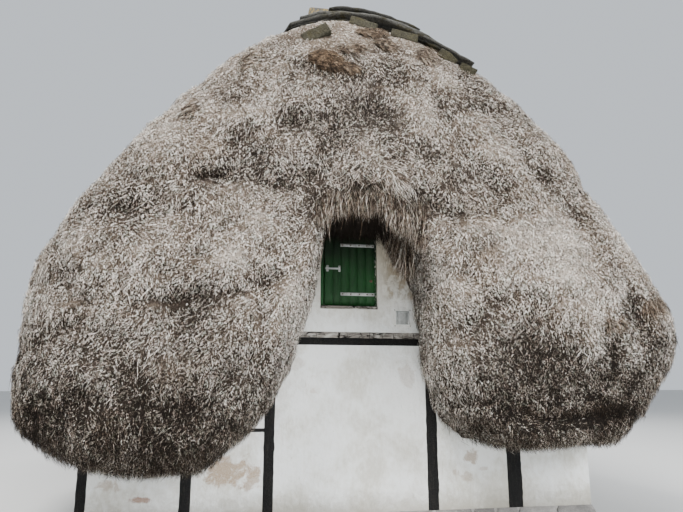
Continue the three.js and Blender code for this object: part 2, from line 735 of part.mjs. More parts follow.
function buildChimney() {
  const flue = pillar(0, CHIMNEY.y, CHIMNEY.flue, CHIMNEY.top - CHIMNEY.flueDepth, FAR);
  add("chimney_stack", chimneyShaft(0).subtract(flue), limewash);
  const low = CHIMNEY.top + GAP;
  const shelf = low + CAP_LOWER.height;
  const high = shelf + CAP_UPPER.height;
  const cap = pillar(0, CHIMNEY.y, CAP_LOWER.width, low, shelf)
    .add(taperedPillar(0, CHIMNEY.y, CAP_UPPER.bottom, CAP_UPPER.top, shelf - GAP, high))
    .subtract(flue);
  add("chimney_cap", cap, stone);
}

function buildRoof() {
  const bell = bellGeometry();
  const shaft = chimneyShaft(GAP);
  buildThatch(solidOf(bell), shaft);
  buildTurf(grownBell(bell, GAP), shaft);
}

buildPlinthAndFloors();
buildFrontTimbers();
buildFrontGableWall();
buildBackGable();
buildSideWall(-1, "left_wall", LEFT_WINDOWS, []);
buildSideWall(1, "right_wall", RIGHT_WINDOWS, [RIGHT_DOOR]);
buildRoof();
buildChimney();

export default cottage;
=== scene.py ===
# The looks of a low half-timbered cottage under a very thick seaweed thatch, built round its fixed frame
import math

import bpy
import numpy as np
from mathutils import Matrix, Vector
from mathutils.bvhtree import BVHTree


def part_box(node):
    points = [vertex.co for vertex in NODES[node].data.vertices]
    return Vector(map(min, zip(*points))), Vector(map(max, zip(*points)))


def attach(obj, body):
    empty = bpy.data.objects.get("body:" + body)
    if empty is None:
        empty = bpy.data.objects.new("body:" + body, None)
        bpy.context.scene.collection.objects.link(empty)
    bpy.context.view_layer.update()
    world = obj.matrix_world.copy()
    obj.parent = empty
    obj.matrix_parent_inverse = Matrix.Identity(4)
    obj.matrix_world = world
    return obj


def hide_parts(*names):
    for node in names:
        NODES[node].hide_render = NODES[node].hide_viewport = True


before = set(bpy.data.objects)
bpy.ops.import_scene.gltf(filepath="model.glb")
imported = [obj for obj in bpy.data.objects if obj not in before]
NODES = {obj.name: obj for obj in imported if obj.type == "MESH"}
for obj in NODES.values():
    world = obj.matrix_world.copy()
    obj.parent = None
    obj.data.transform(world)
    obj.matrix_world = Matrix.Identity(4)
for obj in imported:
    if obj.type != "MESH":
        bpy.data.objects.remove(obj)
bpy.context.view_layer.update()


random = np.random.default_rng(11)

# The house under the thatch, read from the frame
WALL_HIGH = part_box("back_wall")[1]
HALF_WIDTH = WALL_HIGH.x
HALF_LENGTH = WALL_HIGH.y
GABLE_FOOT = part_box("front_gable_wall")[0].z
GABLE_APEX = WALL_HIGH.z
ROOF_SLOPE = (GABLE_APEX - GABLE_FOOT) / HALF_WIDTH

# The photo's camera
CAMERA_PLACE = (-1.329, -11.403, 1.53)
CAMERA_PITCH = 12.1
CAMERA_YAW = 10.0
FOCAL_PIXELS = 600.0
IMAGE_WIDTH = 683.0
IMAGE_HEIGHT = 512.0
SENSOR = 36.0


# Numbers and noise

# The factors, shifts and masks of an integer hash
AXIS_FACTORS = (374761393, 668265263, 2246822519)
SEED_FACTOR, SEED_LIMIT = 3266489917, 4294967291
STIRS = ((15, 2654435761), (13, 1274126177), (16, 1))
WORD, LOW_BITS = 0xFFFFFFFF, 0xFFFFF


def hashed(cell, seed):
    """Numbers from 0 to 1 that look random, one for each whole-number place"""
    word = np.uint64(WORD)
    total = np.uint64(seed * SEED_FACTOR % SEED_LIMIT)
    for k, factor in enumerate(AXIS_FACTORS):
        total = total + (cell[..., k].astype(np.int64).astype(np.uint64) & word) * np.uint64(factor)
    total = total & word
    for shift, factor in STIRS:
        total = ((total ^ (total >> np.uint64(shift))) * np.uint64(factor)) & word
    return (total & np.uint64(LOW_BITS)).astype(float) / LOW_BITS


def smooth_noise(points, size, seed):
    """Smooth noise from -1 to 1; size is its cell, in metres"""
    scaled = points / size
    base = np.floor(scaled)
    part = scaled - base
    part = part * part * part * (part * (part * 6 - 15) + 10)
    total = np.zeros(len(points))
    for corner in np.ndindex(2, 2, 2):
        corner = np.array(corner)
        weight = np.prod(np.where(corner, part, 1 - part), axis=1)
        total += weight * hashed(base + corner, seed)
    return total * 2 - 1


def rough_noise(points, size, seed, layers=3):
    total = np.zeros(len(points))
    for k in range(layers):
        total += smooth_noise(points, size / 2 ** k, seed + k) / 2 ** k
    return total


def drooping_heaps(points, size, seed):
    """Rounded heaps with creases between them, fuller on their lower side, from 0 to about 1"""
    cells = np.floor(points / size)
    best = np.full(len(points), 9.0)
    drop = np.zeros(len(points))
    for step in np.ndindex(3, 3, 3):
        cell = cells + np.array(step) - 1
        middle = np.stack([hashed(cell, seed + k) for k in range(3)], axis=1)
        away = (cell + 0.15 + 0.7 * middle) - points / size
        distance = np.linalg.norm(away, axis=1)
        nearer = distance < best
        best = np.where(nearer, distance, best)
        drop = np.where(nearer, away[:, 2], drop)
    heap = np.sqrt(np.clip(1 - (best / 0.95) ** 2, 0, 1))
    return heap * (0.8 + 0.45 * np.clip(drop, -0.7, 0.7))


def ease(value, low, high):
    t = np.clip((value - low) / (high - low), 0, 1)
    return t * t * (3 - 2 * t)


def unit(vectors):
    return vectors / np.maximum(np.linalg.norm(vectors, axis=-1, keepdims=True), 1e-9)


def camera_axes():
    yaw, pitch = math.radians(CAMERA_YAW), math.radians(CAMERA_PITCH)
    right = np.array([math.cos(yaw), -math.sin(yaw), 0.0])
    ahead = np.array([math.sin(yaw) * math.cos(pitch), math.cos(yaw) * math.cos(pitch), math.sin(pitch)])
    return right, ahead, np.cross(right, ahead)


def picture_place(points):
    """Where points stand in the picture, in pixels from its left and its top"""
    right, ahead, up = camera_axes()
    away = points - np.array(CAMERA_PLACE)
    depth = np.maximum(away @ ahead, 0.1)
    across = IMAGE_WIDTH / 2 + FOCAL_PIXELS * (away @ right) / depth
    return across, IMAGE_HEIGHT / 2 - FOCAL_PIXELS * (away @ up) / depth


def sight_line(across, down):
    """The direction in which the camera sees a place of the picture"""
    right, ahead, up = camera_axes()
    return unit(ahead * FOCAL_PIXELS + right * (across - IMAGE_WIDTH / 2) - up * (down - IMAGE_HEIGHT / 2))


# Meshes

def corners_of(node):
    """The low and the high corner of a CAD node's box as arrays"""
    return [np.array(corner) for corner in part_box(node)]


def mesh_arrays(obj):
    """A mesh's points, its triangles and its smooth normals as arrays"""
    mesh = obj.data
    mesh.calc_loop_triangles()
    points = np.zeros(len(mesh.vertices) * 3)
    mesh.vertices.foreach_get("co", points)
    normals = np.zeros(len(mesh.vertices) * 3)
    mesh.vertices.foreach_get("normal", normals)
    triangles = np.zeros(len(mesh.loop_triangles) * 3, np.int32)
    mesh.loop_triangles.foreach_get("vertices", triangles)
    return points.reshape(-1, 3), triangles.reshape(-1, 3), normals.reshape(-1, 3)


def finish_piece(obj, look, replaced=(), smooth=False):
    obj.data.materials.clear()
    obj.data.materials.append(look)
    if smooth:
        obj.data.polygons.foreach_set("use_smooth", [True] * len(obj.data.polygons))
    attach(obj, "root")
    if replaced:
        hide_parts(*replaced)
    return obj


def new_object(name, mesh):
    obj = bpy.data.objects.new(name, mesh)
    bpy.context.scene.collection.objects.link(obj)
    return obj


def face_mesh(name, points, faces):
    """A mesh from points and faces that all have the same number of corners"""
    mesh = bpy.data.meshes.new(name)
    faces = np.asarray(faces, np.int32)
    corners = faces.shape[1]
    mesh.vertices.add(len(points))
    mesh.vertices.foreach_set("co", np.asarray(points, np.float32).ravel())
    mesh.loops.add(faces.size)
    mesh.loops.foreach_set("vertex_index", faces.ravel())
    mesh.polygons.add(len(faces))
    mesh.polygons.foreach_set("loop_start", np.arange(0, faces.size, corners, dtype=np.int32))
    mesh.update(calc_edges=True)
    mesh.validate()
    return mesh


def set_attribute(mesh, name, values):
    attribute = mesh.attributes.new(name, "FLOAT", "POINT")
    attribute.data.foreach_set("value", np.asarray(values, np.float32))


class Heap:
    """Many small meshes gathered into one"""

    def __init__(self):
        self.points = []
        self.faces = []
        self.values = []
        self.count = 0

    def add(self, points, faces, value=0.5):
        self.points.append(np.asarray(points, float))
        self.faces.append(np.asarray(faces, int) + self.count)
        self.values.append(np.full(len(points), value))
        self.count += len(points)

    def piece(self, name, look, slot, replaced=(), smooth=False):
        mesh = face_mesh(name, np.concatenate(self.points), np.concatenate(self.faces))
        set_attribute(mesh, "tone", np.concatenate(self.values))
        return finish_piece(new_object(name, mesh), look, replaced, smooth)


def ring_skin(rings):
    """Quads round a row of rings of equal length, each end closed by a middle point"""
    rings = np.asarray(rings, float)
    rows, count, _ = rings.shape
    points = np.concatenate([rings.reshape(-1, 3), rings[:1].mean(1), rings[-1:].mean(1)])
    here = np.arange(rows * count).reshape(rows, count)
    after = np.roll(here, -1, 1)
    a, b, c, d = (corner.ravel() for corner in (here[:-1], after[:-1], after[1:], here[1:]))
    first, last = np.full(count, rows * count), np.full(count, rows * count + 1)
    triangles = [(a, b, c), (a, c, d), (first, after[0], here[0]), (last, here[-1], after[-1])]
    return points, np.concatenate([np.stack(three, axis=1) for three in triangles])


def mix(a, b, t):
    return a + (b - a) * t


# In metres: the sizes of a hewn timber's chips and slow waves, and of the tar's ragged edge
CHIP_SIZE, WAVE_SIZE, RAGGED_SIZE = 0.05, 0.5, 0.09


def hewn_beam(low, high, seed=1, step=0.045, bevel=0.008, wobble=0.004, spread=0.0):
    """A hewn timber in a box: its long faces wander, its edges are chipped, and tar spreads beside it"""
    low, high = np.array(low, float), np.array(high, float)
    size = high - low
    along = int(np.argmax(size))
    across = [k for k in range(3) if k != along]
    count = max(3, int(size[along] / step))
    middle = (low + high)[across] / 2
    corners = np.array([(1, -1), (1, 1), (-1, 1), (-1, -1)]) * size[across] / 2
    outline = []
    for before, here, after in zip(np.roll(corners, 1, 0), corners, np.roll(corners, -1, 0)):
        outline.append(here + unit(before - here) * bevel)
        outline.append(here + unit(after - here) * bevel)
        outline.append(mix(here, after, 0.5))
    rings = np.zeros((count + 1, len(outline), 3))
    rings[:, :, along] = mix(low[along], high[along], np.arange(count + 1) / count)[:, None]
    rings[:, :, across] = middle + np.array(outline)
    flat = rings.reshape(-1, 3)
    centre = flat.copy()
    centre[:, across] = middle
    inward = unit(centre - flat)
    chips = np.clip(rough_noise(flat, CHIP_SIZE, seed), 0, 1) ** 1.5
    slow = 0.5 + 0.5 * smooth_noise(flat, WAVE_SIZE, seed + 7)
    flat = flat + inward * (wobble * (slow + 1.6 * chips))[:, None]
    beside = np.eye(3)[0 if along else 2]
    side = np.sign((flat - centre) @ beside)
    stretched = flat * np.array([0.3, 0.3, 1]) + side[:, None] * 5
    ragged = 0.5 + 0.5 * rough_noise(stretched, RAGGED_SIZE, seed + 3)
    flat = flat + beside * (side * spread * np.clip(ragged, 0, 1.3))[:, None]
    return ring_skin(flat.reshape(rings.shape))


def bar(low, high, bevel=0.003):
    """A plain bar with narrow cut edges"""
    return hewn_beam(low, high, step=9.0, bevel=bevel, wobble=0.0)


def edged_lines(length, bevel, count):
    """Grid lines from -1 to 1 with one close to each end"""
    near = 1 - 2 * bevel / length
    return np.concatenate([[-1], np.linspace(-near, near, count + 1), [1]])


def pillow_slab(centre, length, width, thick, axes, seed, rough=0.008, bevel=0.014, across=6, deep=2):
    """A flat block of turf or stone with blunt, uneven edges"""
    u = edged_lines(length, bevel, across)
    v = edged_lines(width, bevel, deep)
    uu, vv = np.meshgrid(u, v, indexing="ij")
    inner = ((np.abs(uu) < 1) & (np.abs(vv) < 1)).reshape(-1)
    plane = np.stack([uu * length / 2, vv * width / 2, np.zeros_like(uu)], -1).reshape(-1, 3)
    rise = np.array([0, 0, thick / 2]) * inner[:, None]
    upper = np.arange(len(plane))
    lower = np.where(inner, len(plane) + np.cumsum(inner) - 1, upper)
    points = np.concatenate([plane + rise, (plane - rise)[inner]])
    row, column = np.meshgrid(np.arange(len(u) - 1), np.arange(len(v) - 1), indexing="ij")
    first = (row * len(v) + column).reshape(-1)
    a, b, c, d = first, first + len(v), first + len(v) + 1, first + 1
    faces = np.concatenate([
        np.stack([upper[a], upper[b], upper[c]], 1), np.stack([upper[a], upper[c], upper[d]], 1),
        np.stack([lower[a], lower[c], lower[b]], 1), np.stack([lower[a], lower[d], lower[c]], 1),
    ])
    points = points @ np.array(axes) + np.array(centre)
    shift = np.stack([rough_noise(points, 0.10, seed + k, 2) for k in range(3)], axis=1)
    return points + shift * rough, faces


# Materials

def rgb(color):
    return (*color, 1.0)


def scaled(color, factor):
    return tuple(factor * c for c in color)


class Look:
    """A material with short ways to add its nodes"""

    def __init__(self, name, roughness=0.85, specular=0.25):
        self.material = bpy.data.materials.new(name)
        self.material.use_nodes = True
        self.tree = self.material.node_tree
        self.shader = self.tree.nodes["Principled BSDF"]
        self.shader.inputs["Roughness"].default_value = roughness
        self.shader.inputs["Specular IOR Level"].default_value = specular
        self.place = self.add("ShaderNodeTexCoord").outputs["Object"]

    def add(self, kind, inputs=None, **settings):
        made = self.tree.nodes.new(kind)
        for key, value in settings.items():
            setattr(made, key, value)
        for key, value in (inputs or {}).items():
            self.fill(made.inputs[key], value)
        return made

    def fill(self, socket, value):
        if isinstance(value, bpy.types.NodeSocket):
            self.tree.links.new(value, socket)
        else:
            socket.default_value = rgb(value) if isinstance(value, tuple) and socket.type == "RGBA" else value

    def noise(self, scale, detail=4.0, rough=0.6, stretch=(1, 1, 1), shift=(0, 0, 0), warp=0.0):
        moved = self.add("ShaderNodeMapping", {"Vector": self.place, "Scale": stretch, "Location": shift})
        settings = {"Vector": moved.outputs[0], "Scale": scale, "Detail": detail, "Roughness": rough}
        settings["Distortion"] = warp
        return self.add("ShaderNodeTexNoise", settings).outputs["Fac"]

    def attribute(self, name):
        return self.add("ShaderNodeAttribute", attribute_name=name).outputs["Fac"]

    def axis(self, name):
        return self.add("ShaderNodeSeparateXYZ", {0: self.place}).outputs[name]

    def math(self, operation, a, b=0.0, clamp=False):
        return self.add("ShaderNodeMath", {0: a, 1: b}, operation=operation, use_clamp=clamp).outputs[0]

    def times(self, a, b):
        return self.math("MULTIPLY", a, b)

    def plus(self, a, b, clamp=False):
        return self.math("ADD", a, b, clamp)

    def far_from(self, value, middle):
        return self.math("ABSOLUTE", self.math("SUBTRACT", value, middle))

    def between(self, value, low, high, to_low=0.0, to_high=1.0):
        inputs = {"Value": value, "From Min": low, "From Max": high, "To Min": to_low, "To Max": to_high}
        return self.add("ShaderNodeMapRange", inputs, clamp=True, interpolation_type="SMOOTHSTEP").outputs[0]

    def mix(self, factor, a, b):
        made = self.add("ShaderNodeMix", {0: factor, 6: a, 7: b}, data_type="RGBA", clamp_factor=True)
        return made.outputs[2]

    def ramp(self, value, stops):
        made = self.add("ShaderNodeValToRGB", {0: value})
        elements = made.color_ramp.elements
        while len(elements) < len(stops):
            elements.new(0.5)
        for element, (place, color) in zip(elements, stops):
            element.position = place
            element.color = rgb(color)
        return made.outputs[0]

    def finished(self, color, *bumps):
        """Takes its colour, and bumps one on another: each a height socket and its depth in metres"""
        self.fill(self.shader.inputs["Base Color"], color)
        normal = None
        for height, depth in bumps:
            made = self.add("ShaderNodeBump", {"Height": height, "Strength": 1.0, "Distance": depth})
            if normal:
                self.fill(made.inputs["Normal"], normal)
            normal = made.outputs[0]
        if normal:
            self.fill(self.shader.inputs["Normal"], normal)
        return self.material


SEAWEED_STOPS = (
    (0.0, (0.012, 0.009, 0.007)),
    (0.18, (0.050, 0.037, 0.028)),
    (0.38, (0.205, 0.160, 0.122)),
    (0.58, (0.52, 0.460, 0.390)),
    (0.85, (0.93, 0.890, 0.825)),
)
PINKISH_STOPS = (
    (0.0, (0.009, 0.006, 0.005)),
    (0.18, (0.055, 0.036, 0.027)),
    (0.38, (0.22, 0.155, 0.120)),
    (0.58, (0.52, 0.40, 0.33)),
    (0.85, (0.93, 0.82, 0.74)),
)
GREENISH_STOPS = (
    (0.0, (0.006, 0.006, 0.003)),
    (0.18, (0.045, 0.042, 0.028)),
    (0.38, (0.18, 0.175, 0.125)),
    (0.58, (0.46, 0.465, 0.385)),
    (0.85, (0.87, 0.91, 0.83)),
)
RUSTY_STOPS = ((0.0, (0.010, 0.006, 0.003)), (0.5, (0.115, 0.072, 0.040)), (1.0, (0.40, 0.29, 0.18)))


def seaweed_look():
    """Dry seaweed from its tone: near black in its depths, where shade is painted, brown grey between, and
    bleached silver on top, where light is painted as well
    """
    look = Look("seaweed", 0.85, 0.15)
    own = look.attribute("tone")
    speckle = look.between(look.noise(24, 3, 0.8), 0.34, 0.66, -0.22, 0.16)
    grains = look.between(look.noise(44, 2, 0.9, shift=(4, 2, 9)), 0.38, 0.58, -0.85, 0.34)
    strength = look.times(look.attribute("grain"), look.between(own, 0.55, 1.0, 1.0, 1.7))
    both = look.plus(speckle, look.times(grains, strength))
    tone = look.plus(own, look.times(both, look.between(own, -0.10, 0.25)), clamp=True)
    pink = look.between(look.noise(24, 3, 0.7, shift=(1, 7, 3)), 0.46, 0.60, 0.0, 0.85)
    green = look.between(look.noise(19, 3, 0.7, shift=(6, 1, 2)), 0.50, 0.64, 0.0, 0.85)
    color = look.mix(pink, look.ramp(tone, SEAWEED_STOPS), look.ramp(tone, PINKISH_STOPS))
    color = look.mix(green, color, look.ramp(tone, GREENISH_STOPS))
    color = look.mix(look.attribute("rust"), color, look.ramp(tone, RUSTY_STOPS))
    return look.finished(color, (look.noise(190, 3, 0.7, stretch=(1, 1, 0.25)), 0.004))


def thatch_body_look():
    """The mass under the loose fibres, darker than them as painted shade among them, with fine dark streaks
    that run down it
    """
    look = Look("seaweed_mass", 0.95, 0.1)
    streaks = look.noise(60, 6, 0.75, stretch=(1, 1, 0.22), warp=0.6)
    fine = look.noise(170, 4, 0.7, stretch=(1, 1, 0.2))
    # Darkened further: painted shade among the fibres
    tone = look.plus(look.times(look.attribute("tone"), 0.55), -0.22)
    tone = look.plus(tone, look.times(look.plus(streaks, fine), 0.42), clamp=True)
    return look.finished(look.ramp(tone, SEAWEED_STOPS), (streaks, 0.05), (fine, 0.02))


EARTH_STOPS = (
    (0.32, (0.008, 0.008, 0.007)),
    (0.48, (0.060, 0.058, 0.052)),
    (0.66, (0.175, 0.172, 0.158)),
)
MOSS_STOPS = ((0.32, (0.010, 0.009, 0.005)), (0.7, (0.095, 0.084, 0.046)))
LICHEN_STOPS = ((0.35, (0.045, 0.044, 0.040)), (0.75, (0.185, 0.180, 0.160)))


def turf_look(name, grey):
    """Weathered turf, mossy in patches; grey is the share of grey earth and of pale lichen on top"""
    look = Look(name, 0.95, 0.1)
    grains = look.noise(60, 5, 0.7)
    share = look.plus(look.times(grains, 0.5), look.times(look.attribute("tone"), 0.5))
    moss = look.ramp(grains, MOSS_STOPS)
    patches = look.between(look.noise(5, 5, 0.65, warp=0.5), 0.48, 0.66)
    color = look.mix(1 - grey, look.mix(patches, look.ramp(share, EARTH_STOPS), moss), moss)
    normal = look.add("ShaderNodeNewGeometry").outputs["Normal"]
    up = look.add("ShaderNodeSeparateXYZ", {0: normal}).outputs[2]
    lichen = look.times(look.between(look.noise(14, 4), 0.47, 0.64), look.between(up, 0.0, 0.9))
    color = look.mix(look.times(lichen, grey), color, look.ramp(grains, LICHEN_STOPS))
    return look.finished(color, (look.noise(45, 6, 0.75), 0.03), (look.noise(150, 3, 0.7), 0.01))


LIMEWASH_STOPS = (
    (0.40, (0.70, 0.685, 0.62)),
    (0.49, (0.86, 0.865, 0.83)),
    (0.56, (0.94, 0.955, 0.94)),
)
CLAY = (0.50, 0.375, 0.265)
BRICK = (0.40, 0.20, 0.13)
UNDER_CHEEK_SHADE = (0.36, 0.32, 0.26)
YELLOWED_AND_SHADED = (0.62, 0.56, 0.44)
SPECKS = (0.33, 0.28, 0.22)
SCUFFS = (0.33, 0.26, 0.17)
SPLASHES = (0.33, 0.30, 0.24)
# Worn patches on the front, and one of painted shade under the thatch's right cheek: middle x and z, half
# width and half height, colour and strength
WORN_PATCHES = (
    (-1.36, 0.62, 0.44, 0.26, CLAY, 1.0),
    (-1.10, 0.55, 0.14, 0.22, CLAY, 0.8),
    (-2.25, 0.35, 0.20, 0.05, BRICK, 0.9),
    (-2.55, 0.50, 0.20, 0.10, CLAY, 0.6),
    (-2.05, 0.62, 0.22, 0.10, CLAY, 0.55),
    (1.42, 0.72, 0.14, 0.13, CLAY, 0.8),
    (1.36, 0.93, 0.10, 0.02, CLAY, 0.6),
    (1.22, 0.55, 0.06, 0.06, CLAY, 0.5),
    (1.36, 0.50, 0.12, 0.09, CLAY, 0.55),
    (1.56, 0.58, 0.10, 0.04, CLAY, 0.4),
    (0.66, 1.62, 0.16, 0.22, CLAY, 0.35),
    # Painted shade under the thatch's right cheek, warm brown
    (0.62, 2.86, 0.14, 0.20, UNDER_CHEEK_SHADE, 0.55),
    (0.50, 3.05, 0.10, 0.30, CLAY, 0.28),
    (0.74, 2.55, 0.09, 0.05, CLAY, 0.5),
    (-0.62, 1.75, 0.13, 0.10, CLAY, 0.3),
)
# The x and the height over which scuffs beside the hatch, yellowing with painted shade under the eaves, and
# splashes set in
SCUFFED_X = (0.30, 0.52)
SCUFFED_Z = (2.44, 2.60)
YELLOWED_AND_SHADED_Z = (2.15, 3.1)
SPLASHED_Z = (0.28, -0.05)


def worn_patch(look, color, patch, edge, speckle):
    """The limewash's colour with one more patch: most are worn places, one is painted shade"""
    middle_x, middle_z, half_x, half_z, under, strength = patch
    squares = []
    for value, middle, half in ((look.axis(0), middle_x, half_x), (look.axis(2), middle_z, half_z)):
        away = look.math("DIVIDE", look.math("SUBTRACT", value, middle), half)
        squares.append(look.math("POWER", look.math("ABSOLUTE", away), 2.0))
    worn = look.plus(look.times(look.plus(*squares), -0.45), look.times(edge, 1.1))
    cover = look.times(look.between(worn, 0.32, 0.50), strength)
    cover = look.times(cover, look.between(speckle, 0.30, 0.55, 0.35, 1.0))
    return look.mix(cover, color, look.mix(look.between(speckle, 0.35, 0.65), under, scaled(under, 0.75)))


def limewash_look(patches=()):
    """Cool white limewash, brushed and blistered, with worn places where clay or brick shows"""
    look = Look("limewash_front" if patches else "limewash", 0.92, 0.15)
    brush = look.noise(22, 5, 0.65, stretch=(1, 1, 0.5))
    speckle = look.noise(120, 3, 0.7)
    edge = look.noise(9, 6, 0.75, warp=0.8)
    x, z = look.axis(0), look.axis(2)
    blotch = look.noise(1.6, 6, 0.6, warp=0.3)
    color = look.ramp(look.plus(look.times(blotch, 0.72), look.times(brush, 0.28)), LIMEWASH_STOPS)
    # Yellowed and darker towards the eaves: yellowing, and painted shade under the thatch
    color = look.mix(look.between(z, *YELLOWED_AND_SHADED_Z, 0.0, 0.9), color, YELLOWED_AND_SHADED)
    specks = look.between(look.noise(75, 2, 0.5), 0.70, 0.78)
    color = look.mix(look.times(specks, 0.5), color, SPECKS)
    worn = look.between(look.noise(2.3, 5, 0.7, warp=1.0), 0.66, 0.72)
    color = look.mix(look.times(worn, 0.35), color, CLAY)
    for patch in patches:
        color = worn_patch(look, color, patch, edge, speckle)
    if patches:
        beside = look.times(look.between(x, *SCUFFED_X), look.between(z, *SCUFFED_Z))
        scuffs = look.between(look.noise(17, 3, 0.55, stretch=(1, 1, 0.8)), 0.42, 0.60)
        color = look.mix(look.times(look.times(scuffs, beside), 0.75), color, SCUFFS)
    foot = look.plus(z, look.times(edge, -0.35))
    color = look.mix(look.between(foot, *SPLASHED_Z, 0.0, 0.75), color, SPLASHES)
    return look.finished(color, (look.noise(3.5, 4, 0.6), 0.035), (brush, 0.010), (speckle, 0.002))


TAR_STOPS = ((0.3, (0.002, 0.002, 0.002)), (0.55, (0.006, 0.0055, 0.005)), (0.8, (0.036, 0.030, 0.024)))
LIMEY = (0.24, 0.21, 0.18)


def tarred_look():
    """Tarred oak: black, dull, with grain, cracks and bits of limewash at its edges"""
    look = Look("tarred_timber", 0.7, 0.35)
    grain = look.noise(38, 6, 0.7, stretch=(1, 1, 0.12), warp=0.4)
    chips = look.noise(26, 5, 0.75, warp=0.6)
    edges = look.plus(chips, look.times(look.attribute("tone"), 0.24))
    color = look.mix(look.between(edges, 0.79, 0.86, 0.0, 0.6), look.ramp(grain, TAR_STOPS), LIMEY)
    return look.finished(color, (chips, 0.03), (grain, 0.02), (look.noise(90, 4, 0.7), 0.008))


GREY_WOOD_STOPS = ((0.3, (0.07, 0.062, 0.055)), (0.5, (0.25, 0.225, 0.20)), (0.75, (0.46, 0.43, 0.39)))
OLD_WASH = (0.58, 0.56, 0.51)
CRACK = (0.012, 0.010, 0.008)


def grey_timber_look():
    """Weathered timber with cracks along and across it, and an old wash of lime"""
    look = Look("weathered_timber")
    grain = look.noise(30, 6, 0.7, stretch=(0.1, 1, 1), warp=0.5)
    wash = look.noise(7, 5, 0.7, stretch=(0.5, 1, 1), warp=0.6)
    color = look.mix(look.between(wash, 0.50, 0.62, 0.0, 0.8), look.ramp(grain, GREY_WOOD_STOPS), OLD_WASH)
    along = look.far_from(look.noise(9, 4, 0.6, stretch=(0.22, 1, 1), warp=0.7), 0.5)
    across = look.far_from(look.noise(5, 3, 0.6, stretch=(1, 1, 0.1), warp=0.5), 0.52)
    cracks = look.math("MAXIMUM", look.between(along, 0.016, 0.004), look.between(across, 0.010, 0.002))
    return look.finished(look.mix(cracks, color, CRACK), (grain, 0.012), (wash, 0.008), (cracks, -0.02))


PAINT_STOPS = ((0.25, (0.003, 0.022, 0.004)), (0.5, (0.007, 0.062, 0.012)), (0.75, (0.016, 0.105, 0.022)))
FADED_PAINT = (0.035, 0.17, 0.045)
SHADED_PAINT = (0.004, 0.010, 0.004)
UNDERCOAT = (0.62, 0.60, 0.54)
BARE_WOOD = (0.22, 0.20, 0.16)
# The height over which painted shade under the thatch darkens the paint
SHADED_Z = (3.0, 3.45)


def green_look(name="green_paint", chipped=0.0):
    """Dark green paint on boards, thinner and paler where the weather reaches, flaked where it is chipped,
    with painted shade towards its top
    """
    look = Look(name, 0.55, 0.4)
    grain = look.noise(190, 4, 0.7, stretch=(1, 1, 0.05), warp=0.3)
    value = look.plus(look.times(grain, 0.7), look.times(look.attribute("tone"), 0.25))
    faded = look.between(look.noise(2.4, 4, 0.6), 0.5, 0.75, 0.0, 0.25)
    color = look.mix(faded, look.ramp(value, PAINT_STOPS), FADED_PAINT)
    # Painted shade under the thatch, near black towards the top
    high = look.plus(look.axis(2), look.times(look.noise(5, 5, 0.7), 0.5))
    color = look.mix(look.between(high, *SHADED_Z, 0.0, 0.85), color, SHADED_PAINT)
    flakes = look.plus(look.noise(30, 4, 0.8, shift=(5, 2, 1)), 0.12 * chipped)
    flakes = look.between(flakes, 0.66, 0.70)
    color = look.mix(look.times(flakes, chipped), color, UNDERCOAT)
    bare = look.between(look.noise(55, 5, 0.8, stretch=(1, 1, 0.3)), 0.73, 0.78)
    return look.finished(look.mix(bare, color, BARE_WOOD), (grain, 0.004))


METAL_STOPS = ((0.3, (0.33, 0.34, 0.33)), (0.55, (0.55, 0.57, 0.56)), (0.8, (0.68, 0.69, 0.67)))
RUST_SPOTS = (0.20, 0.105, 0.055)
RUST_STOPS = ((0.3, (0.045, 0.030, 0.022)), (0.7, (0.19, 0.125, 0.085)))


def grey_metal_look():
    look = Look("grey_metal", 0.5, 0.5)
    spots = look.between(look.noise(42, 5, 0.75), 0.63, 0.72)
    color = look.mix(spots, look.ramp(look.noise(18, 5, 0.7), METAL_STOPS), RUST_SPOTS)
    return look.finished(color, (look.noise(90, 4, 0.6), 0.001))


def rust_look():
    look = Look("rust", 0.9)
    return look.finished(look.ramp(look.noise(80, 5, 0.7), RUST_STOPS), (look.noise(140, 4, 0.7), 0.002))


STONE_STOPS = ((0.3, (0.09, 0.085, 0.08)), (0.5, (0.26, 0.25, 0.235)), (0.7, (0.46, 0.44, 0.41)))
YELLOW_LICHEN = (0.42, 0.30, 0.09)
PALE_LICHEN = (0.46, 0.455, 0.42)


def stone_look(name, lichen, shade):
    """Grey fieldstone or mortar; lichen is the share of yellow spots, and shade below 1 darkens the stone as
    painted shade
    """
    look = Look(name, 0.9)
    grains = look.noise(70, 5, 0.75)
    clouds = look.noise(6, 5, 0.6, warp=0.4)
    value = look.plus(look.times(grains, 0.35), look.times(clouds, 0.4))
    value = look.plus(value, look.times(look.attribute("tone"), 0.25))
    color = look.ramp(value, [(place, scaled(stone, shade)) for place, stone in STONE_STOPS])
    spots = look.noise(19, 5, 0.7, shift=(3, 1, 7), warp=0.7)
    spots = look.between(spots, 0.66 - 0.22 * lichen, 0.72 - 0.2 * lichen)
    color = look.mix(look.times(spots, lichen), color, scaled(YELLOW_LICHEN, 0.4 + 0.6 * shade))
    pale = look.between(look.noise(11, 4, 0.7, shift=(9, 4, 2)), 0.60, 0.66, 0.0, 0.45)
    return look.finished(look.mix(pale, color, scaled(PALE_LICHEN, shade)), (clouds, 0.02), (grains, 0.006))


CLAY_STOPS = ((0.3, (0.20, 0.145, 0.10)), (0.7, (0.40, 0.31, 0.22)))
BOARD_STOPS = ((0.3, (0.12, 0.075, 0.045)), (0.55, (0.30, 0.21, 0.135)), (0.8, (0.46, 0.35, 0.24)))
GLASS_STOPS = ((0.3, (0.72, 0.78, 0.77)), (0.8, (0.52, 0.55, 0.52)))


def clay_look():
    look = Look("trodden_clay", 0.95, 0.1)
    return look.finished(look.ramp(look.noise(2.2, 6, 0.65), CLAY_STOPS), (look.noise(14, 6, 0.7), 0.012))


def board_look():
    look = Look("bare_boards", 0.8)
    grain = look.noise(16, 6, 0.7, stretch=(0.12, 1, 1), warp=0.5)
    return look.finished(look.ramp(grain, BOARD_STOPS), (grain, 0.006))


